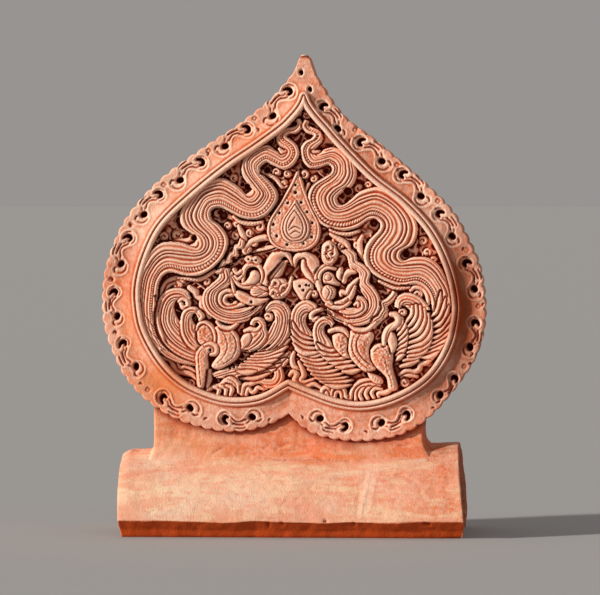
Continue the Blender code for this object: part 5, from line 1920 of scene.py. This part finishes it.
@dataclass
class LeafBorder:
    """The leaf's border with rim, pierced scrolls and lobed edge, in a left and a right piece."""

    sheet: Sheet
    lines: LeafLines
    stains: Stains
    edge_round: float = 2.0
    edge_fall: float = 2.6
    front_walls: tuple[float, ...] = (-30.0, -20.0, -10.0, -5.0)
    back_walls: tuple[float, ...] = (-6.0, -14.0)
    front_arris: float = -8.0
    back_arris: float = -3.0
    taper: float = 1.5
    back_rim: float = 7.5
    back_rim_half: float = 4.6
    back_rows: int = 28
    front_rows: int = 60
    relief: Relief = field(init=False)

    def __post_init__(self) -> None:
        """Lays the border's face."""
        self.relief = Relief(*LEAF_BOX, 0.0)

    def carve(self) -> None:
        """Models the rim and cuts the scrolls."""
        relief = self.relief
        relief.roughen(26.0, 0.7, 3)
        relief.roughen(7.0, 0.4, 4)
        for curls, drops in ((CURL_HOLES_LEFT, DROP_HOLES_LEFT), (CURL_HOLES_RIGHT, DROP_HOLES_RIGHT)):
            for curl, drop in zip(curls, drops):
                self.scroll(curl, drop)
        for x, y in ROSETTES:
            turn = [(x + r * math.cos(4.2 * r), y + r * math.sin(4.2 * r)) for r in ROSETTE_REACHES]
            relief.stroke(turn, (0.5, 0.8, 0.7), 2.6, Tool.SCORE)
        for x, y in TIP_HOLES:
            lip = [(x - 3, y + 1), (x - 1, y + 4.5), (x + 3, y + 3), (x + 3.6, y - 1)]
            relief.stroke(lip, (0.6, 1.1, 0.6), 1.0, drop=1.6, moat=0.0)
            relief.stroke([(x, y), (x + 0.5, y + 1.0)], (1.3, 1.0), -SCROLL_DEPTH, Tool.PIERCE)
        relief.soften()
        ring = self.lines.ring(0)
        relief.moulding(np.vstack((ring, ring[:1])), RIM_PROFILE, BAND_SLOPE)

    def scroll(self, curl: Point, drop: Point) -> None:
        """Cuts one unit of the running scroll, drawn once and carried to its place.

        Args:
            curl: Middle of its curl's hole.
            drop: Middle of its drop-shaped hole.
        """
        drawn = np.subtract(SCROLL_DROP, SCROLL_CURL)
        along = np.subtract(drop, curl) / np.hypot(*drawn)
        across = np.array((-along[1], along[0]))
        if np.dot(across, np.subtract(curl, self.sheet.centre)) < 0:
            across = -across
        drawn = drawn / np.hypot(*drawn)
        drawn_across = np.array((-drawn[1], drawn[0]))

        def carried(points: Line) -> Line:
            """The drawn points, carried to this unit's place."""
            offsets = [np.subtract(point, SCROLL_CURL) for point in points]
            return [tuple(curl + (p @ drawn) * along + (p @ drawn_across) * across) for p in offsets]

        for points, height in SCROLL_LIPS:
            self.relief.stroke(carried(points), (0.8, 1.3, 0.8), height + 0.4, drop=1.6, moat=0.0)
        for points, half, depth in SCROLL_GROOVES:
            Cut(carried(points), half, depth).work(self.relief)
        for points, halves in SCROLL_HOLES:
            self.relief.stroke(carried(points), halves, -SCROLL_DEPTH, Tool.PIERCE)

    def side_points(self, edge: Array, middle: Array, inner: Array) -> Array:
        """Lattice of points of one side of the border.

        Args:
            edge: The scalloped edge.
            middle: The rim's middle line.
            inner: The rim's inner line.

        Returns:
            Points by column and by place round the section.
        """
        sections = []
        place = self.sheet.place
        for depth in self.front_walls:
            sections.append(place(*inner.T, depth, Side.FRONT))
        for share in np.linspace(0.0, 1.0, self.front_rows - len(self.front_walls)):
            spot = inner + (edge - inner) * share
            gap = np.hypot(*(edge - spot).T)
            fall = np.clip(1 - gap / self.edge_round, 0, 1)
            heights = self.relief.sample(*spot.T, self.relief.heights)
            heights = heights - self.edge_fall * (1 - np.sqrt(1 - fall ** 2))
            sections.append(place(*spot.T, heights, Side.FRONT))
        front = place(*edge.T, self.front_arris, Side.FRONT)
        edge = edge + (inner - edge) * (self.taper / np.hypot(*(inner - edge).T))[:, None]
        back = place(*edge.T, self.back_arris, Side.BACK)
        for share in np.linspace(0.1, 0.9, 6):
            sections.append(front + (back - front) * share)
        for share in np.linspace(1.0, 0.0, self.back_rows):
            spot = inner + (edge - inner) * share
            gap = np.hypot(*(spot - middle).T) / self.back_rim_half
            heights = self.back_rim * np.clip(1 - gap ** 2, 0, 1) ** 0.8 - (1.0 if share == 1.0 else 0.0)
            sections.append(place(*spot.T, heights, Side.BACK))
        for depth in self.back_walls:
            sections.append(place(*inner.T, depth, Side.BACK))
        return np.stack(sections, axis=1)

    def build(self, material: bpy.types.Material) -> None:
        """Builds both pieces.

        Args:
            material: Their finish.
        """
        values = self.relief.masks(0.25)
        # The rim's crest is painted paler, as wear and as highlight.
        crests = np.clip(self.relief.heights / 2.0 - 2.0, 0, 1)
        values["worn"] = np.clip(values["worn"] + 0.35 * crests, 0, 1)
        halves = (("border_left", LEAF_LEFT, RIM_LEFT, 1.0), ("border_right", LEAF_RIGHT, RIM_RIGHT, -1.0))
        for name, edge, rim, sign in halves:
            points = self.side_points(self.lines.edge(edge), *self.lines.rim(rim))
            columns, around = points.shape[:2]
            wrapped = np.concatenate((points[:, -1:], points, points[:, :1]), axis=1)
            normals = lattice_normals(wrapped)[:, 1:-1]
            number = np.arange(columns * around).reshape(columns, around)
            a, b = number[:-1], number[1:]
            quads = np.stack((a, np.roll(a, -1, 1), np.roll(b, -1, 1), b), axis=-1).reshape(-1, 4)
            caps = [number[0][::-1], number[-1]]
            if sign < 0:
                quads = quads[:, ::-1]
                caps = [cap[::-1] for cap in caps]
            places = self.sheet.read(points)
            shown = np.arange(around) < self.front_rows
            painted = {key: (self.relief.sample(*places, grid) * shown).ravel()
                       for key, grid in values.items()}
            painted.update(self.stains.paint(points.reshape(-1, 3)))
            skin = Skin(points.reshape(-1, 3), quads, (normals * -sign).reshape(-1, 3), painted, caps)
            skin.piece(name, material)


@dataclass
class BackField:
    """The plain sunk back of the leaf, with the marks of a trowel."""

    sheet: Sheet
    lines: LeafLines
    stains: Stains
    depth: float = 10.0
    trowel: float = 0.6
    relief: Relief = field(init=False)

    def __post_init__(self) -> None:
        """Lays the back's ground."""
        self.relief = Relief(*FIELD_BOX, -self.depth, cell=1.6)

    def carve(self) -> None:
        """Works the back with broad trowel strokes."""
        relief = self.relief
        relief.roughen(40.0, 1.2, 11)
        relief.roughen(9.0, self.trowel, 12)
        for row in range(120, 410, 17):
            bend = 9.0 * math.sin(0.05 * row)
            sweep = [(135, row + bend), (290, row - 14 + bend), (460, row + bend)]
            relief.stroke(sweep, (5.0, 8.0, 5.0), 0.8, Tool.SCORE)

    def build(self, material: bpy.types.Material) -> None:
        """Builds the piece.

        Args:
            material: Its finish.
        """
        relief = self.relief
        slab = GridSlab(self.sheet, Side.BACK, 0.0, self.stains)
        slab.skin(relief, self.lines.field_cells(relief)[1], relief.masks()).piece("back_field", material)


@dataclass
class Barrel:
    """The barrel tile's half-round body, open below, cut with a wire along its edges."""

    length: float = 0.528
    middle: float = -0.0072
    half_width: float = 0.150
    wall: float = 0.036
    crown_left: float = 0.130
    crown_right: float = 0.142
    cut_rise: float = 0.026
    foot_flat: float = 0.008
    lean: float = 0.0085
    front_lean: float = 0.0070
    arris_wave: float = 0.0022
    wave_length: float = 0.05
    foot_from: float = 0.94
    foot_band: float = 0.06
    end_from: float = 0.93
    end_band: float = 0.07
    corner: float = 0.0060
    cell: float = 0.0025
    rounding: float = 0.0018
    edge_reach: float = 0.012
    around: float = 2.54

    def crown(self, x: Array) -> Array:
        """Height of the crown at places along the tile."""
        share = (x - self.middle) / self.length + 0.5
        return self.crown_left + share * (self.crown_right - self.crown_left)

    def arc(self, x: Array) -> tuple[Array, Array]:
        """Finds the outer arc at places along the tile.

        Args:
            x: The places.

        Returns:
            The arc's radius and the height of its centre.
        """
        rise = self.crown(x) - self.cut_rise
        radius = (rise * rise + self.half_width ** 2) / (2 * rise)
        return radius, self.crown(x) - radius

    def top(self, x: Array, y: Array) -> Array:
        """Height of the outer surface over places of the ground."""
        radius, centre = self.arc(x)
        return centre + np.sqrt(np.maximum(radius ** 2 - y * y, 0.0))

    def bend(self, block: Array) -> Array:
        """Bends a flat block into the barrel.

        Args:
            block: Points with places along, around and through the wall.

        Returns:
            Points in the part's frame.
        """
        x = block[:, 0] + self.middle
        radius, centre = self.arc(x)
        inner = radius - self.wall
        reach = np.arcsin(self.half_width / radius)
        inner_reach = np.arccos(-centre / inner)
        # From one wire cut to the other u runs from -1 to 1, and from outside to inside v runs from 0 to 1.
        u = block[:, 1] / block[:, 1].max()
        v = 0.5 - block[:, 2] / self.wall
        y = radius * np.sin(u * reach) * (1 - v) + inner * np.sin(u * inner_reach) * v
        z = centre + radius * np.cos(u * reach) * (1 - v) + inner * np.cos(u * inner_reach) * v
        foot = np.clip((np.abs(u) - self.foot_from) / self.foot_band, 0, 1) ** 2
        foot *= np.clip(1 - np.abs(v - 0.8) / 0.25, 0, 1)
        y += np.sign(u) * 0.25 * self.foot_flat * foot
        z -= 0.6 * self.foot_flat * foot
        share = (x - self.middle) / self.length + 0.5
        slant = self.lean * share + self.front_lean * np.clip(-y / self.half_width, 0, 1)
        end = np.clip((np.abs(2 * share - 1) - self.end_from) / self.end_band, 0, 1)
        worn_corner = self.corner * (end * v * u ** 8) ** 2
        x = x + slant * (1.0 - z / self.crown(x)) - np.sign(share - 0.5) * worn_corner
        z -= self.corner * np.clip(1 - share / 0.03, 0, 1) ** 2 * (1 - v) * (1 - u * u)
        z += self.arris_wave * clay_noise(x / self.wave_length, u, np.zeros(1), 23) * u ** 12 * (1 - v)
        return np.stack((x, y, z), axis=1)

    def drawn_to_edges(self, block: Array) -> Array:
        """Draws the cells near the block's edges closer together, so that the edges are crisp.

        Args:
            block: Points of the flat block.

        Returns:
            The moved points.
        """
        half = np.abs(block).max(axis=0)
        gap = half - np.abs(block)
        drawn = gap * (0.4 + 0.6 * np.clip(gap / self.edge_reach, 0, 1))
        return np.sign(block) * (half - np.where(gap < self.edge_reach, drawn, gap))

    def build(self, material: bpy.types.Material, stains: Stains) -> None:
        """Builds the piece.

        Args:
            material: Its finish.
            stains: The colour patches painted on it.
        """
        size = (self.length, self.around * self.half_width, self.wall)
        flat, quads = Block(size, self.cell, self.rounding).surface()
        half = flat.max(axis=0)
        ends, wire = np.clip((np.abs(flat) - half) / self.rounding + 1.0, 0, 1).T[:2] ** 4
        points = self.bend(self.drawn_to_edges(flat))
        normals = surface_normals(points, quads)
        points = weathered(points, normals, FACE_BUMPS, 21)
        points = weathered(points, normals * (wire + ends)[:, None], CUT_BUMPS, 22)
        push = scar_push(points, stains.sheet)
        points += normals * push[:, None] * MILLIMETRE
        points[:, 2] = np.maximum(points[:, 2], 0.0)
        # The wire cut is bare red clay, the end faces are painted darker as shade, scars that sink are
        # darker, and scars that stand up are chalky.
        values = stains.paint(points)
        values["worn"] = -0.4 * np.maximum(wire, ends)
        values["wash"] = 1.0 - np.maximum(wire, 0.7 * ends)
        values["rust"] = wire
        values["chalk"] = np.maximum(values["chalk"] * (1 - wire), np.clip(0.7 * push, 0, 0.8))
        values["deep"] = np.clip(0.5 * ends + np.clip(-0.35 * push - 0.1, 0, 0.9), 0, 1)
        Skin(points, quads, surface_normals(points, quads), values).piece("barrel", material)


@dataclass
class Neck:
    """The block of clay between barrel and leaf, with a smeared fillet at its foot."""

    sheet: Sheet
    barrel: Barrel
    length: float = 0.421
    middle: float = -0.008
    half_thickness: float = 0.062
    top: float = 0.210
    root: float = 0.012
    spread: float = 0.014
    fade: float = 0.007
    behind: float = 0.004
    core: float = 0.030
    recess: float = 0.11
    recess_rise: float = 0.03
    fillet_left: float = 0.02
    fillet_run: float = 0.12
    least_fillet: float = 0.25
    grime: float = 0.85
    grime_reach: float = 0.0085
    end_spread: float = 0.006
    cell: float = 0.0025
    rounding: float = 0.004

    def shape(self, block: Array, height: float) -> Array:
        """Sets the block on the barrel and flares its foot.

        Args:
            block: Points with places along, across and up.
            height: The block's own height.

        Returns:
            Points in the part's frame.
        """
        x = block[:, 0] + self.middle
        y = block[:, 1]
        crown = self.barrel.top(x, y)
        share = block[:, 2] / height + 0.5
        z = crown - self.root + share * (self.top - crown + self.root)
        above = np.clip(z - crown, 0.0, None)
        right = np.clip((x + self.fillet_left) / self.fillet_run, self.least_fillet, 1.0)
        flare = self.spread * right * np.exp(-above / self.fade)
        y = y * (1 + flare / self.half_thickness - self.recess * np.clip(above / self.recess_rise, 0, 1))
        to_end = np.clip((x - self.middle) / (0.5 * self.length), -1, 1)
        x = x + (0.4 * flare + self.end_spread * np.exp(-above / self.fade)) * to_end
        crown = self.barrel.top(x, y)
        z = crown - self.root + share * (self.top - crown + self.root)
        hidden = z > self.leaf_foot(x) + self.behind
        y = np.where(hidden, np.clip(y, -self.core, self.core), y)
        return np.stack((x, y, z), axis=1)

    def leaf_foot(self, x: Array) -> Array:
        """Height of the leaf's lower edge.

        Args:
            x: Places along the tile.

        Returns:
            One height for each place.
        """
        line = np.vstack((smooth_line(LEAF_LEFT[-7:]), smooth_line(LEAF_RIGHT[-9:])[::-1]))
        rows = np.interp(x / self.sheet.step + self.sheet.middle, line[:, 0], line[:, 1])
        return (self.sheet.ground_row - rows) * self.sheet.step

    def build(self, material: bpy.types.Material, stains: Stains) -> None:
        """Builds the piece.

        Args:
            material: Its finish.
            stains: The colour patches painted on it.
        """
        height = self.top - self.barrel.crown_left + self.root
        size = (self.length, 2 * self.half_thickness, height)
        flat, quads = Block(size, self.cell, self.rounding).surface()
        points = self.shape(flat, height)
        normals = surface_normals(points, quads)
        points = weathered(points, normals, NECK_BUMPS, 31)
        push = scar_push(points, stains.sheet)
        points += normals * push[:, None] * MILLIMETRE
        values = stains.paint(points)
        values["worn"] = np.full(len(points), -0.2)
        values["wash"] = np.full(len(points), 0.45)
        # Scars that sink are darker, and painted shadow darkens the neck just under the leaf's lower edge.
        under = np.clip(self.leaf_foot(points[:, 0]) - points[:, 2], 0, None) / self.grime_reach
        values["deep"] = np.clip(np.maximum(-0.35 * push - 0.05, self.grime * np.exp(-under ** 2)), 0, 0.9)
        Skin(points, quads, surface_normals(points, quads), values).piece("neck", material)


@dataclass
class Studio:
    """Pale floor, soft light and the camera."""

    target: tuple[float, float, float] = (0.010, -0.05, 0.370)
    distance: float = 8.0
    azimuth: float = 4.0
    elevation: float = 1.5
    lens: float = 307.5

    def build(self) -> None:
        """Makes floor, light and camera."""
        self.floor()
        self.light()
        self.camera()
        view = bpy.context.scene.view_settings
        view.view_transform = "Standard"
        view.look = "None"

    def floor(self) -> None:
        """Lays a wide pale floor."""
        mesh = bpy.data.meshes.new("floor")
        reach = 60.0
        corners = [(reach * x, reach * y, 0) for x, y in ((-1, -1), (1, -1), (1, 1), (-1, 1))]
        mesh.from_pydata(corners, [], [(0, 1, 2, 3)])
        material = bpy.data.materials.new("pale_floor")
        material.use_nodes = True
        shader = material.node_tree.nodes["Principled BSDF"]
        shader.inputs["Base Color"].default_value = (0.44, 0.44, 0.44, 1.0)
        shader.inputs["Roughness"].default_value = 0.9
        mesh.materials.append(material)
        floor = bpy.data.objects.new("floor", mesh)
        bpy.context.scene.collection.objects.link(floor)

    def light(self) -> None:
        """Sets a soft key from the left and a pale surround."""
        world = bpy.data.worlds.new("surround")
        world.use_nodes = True
        sky = world.node_tree.nodes["Background"]
        sky.inputs["Color"].default_value = (1.0, 0.955, 0.93, 1.0)
        sky.inputs["Strength"].default_value = 0.31
        bpy.context.scene.world = world
        lamp = bpy.data.lights.new("key", "SUN")
        lamp.energy = 3.9
        lamp.angle = math.radians(4.0)
        lamp.color = (1.0, 0.95, 0.88)
        key = bpy.data.objects.new("key", lamp)
        travel = (0.87, 0.45, -0.32)
        key.rotation_mode = "QUATERNION"
        key.rotation_quaternion = direction_turn(travel)
        bpy.context.scene.collection.objects.link(key)

    def camera(self) -> None:
        """Sets the camera a long way off, as the picture was taken."""
        lens = bpy.data.cameras.new("camera")
        lens.sensor_width = 36.0
        lens.lens = self.lens
        lens.clip_end = 200.0
        camera = bpy.data.objects.new("camera", lens)
        turn = math.radians(self.azimuth)
        rise = math.radians(self.elevation)
        away = (math.sin(turn) * math.cos(rise), -math.cos(turn) * math.cos(rise), math.sin(rise))
        camera.location = [t + self.distance * a for t, a in zip(self.target, away)]
        camera.rotation_mode = "QUATERNION"
        camera.rotation_quaternion = direction_turn([-a for a in away])
        bpy.context.scene.collection.objects.link(camera)
        bpy.context.scene.camera = camera


def direction_turn(travel: Sequence[float]) -> Quaternion:
    """Turn that points an object's -Z along a direction, with +Y up."""
    return Vector(travel).to_track_quat("-Z", "Y")


def main() -> None:
    """Builds the ridge tile's pieces and the studio in order."""
    logging.basicConfig(level=logging.INFO, format="%(name)s %(message)s")
    low, high = CAD_BOX
    sheet = Sheet(high.z - low.z)
    lines = LeafLines(sheet)
    face = ClayFinish("terracotta_carved").material()
    stains = Stains(sheet)
    carved = CarvedField(sheet, lines, stains)
    carved.carve()
    carved.build(face)
    border = LeafBorder(sheet, lines, stains)
    border.carve()
    border.build(face)
    back = BackField(sheet, lines, stains)
    back.carve()
    back.build(face)
    barrel = Barrel()
    barrel.build(face, stains)
    Neck(sheet, barrel).build(face, stains)
    Studio().build()


if __name__ == "__main__":
    main()
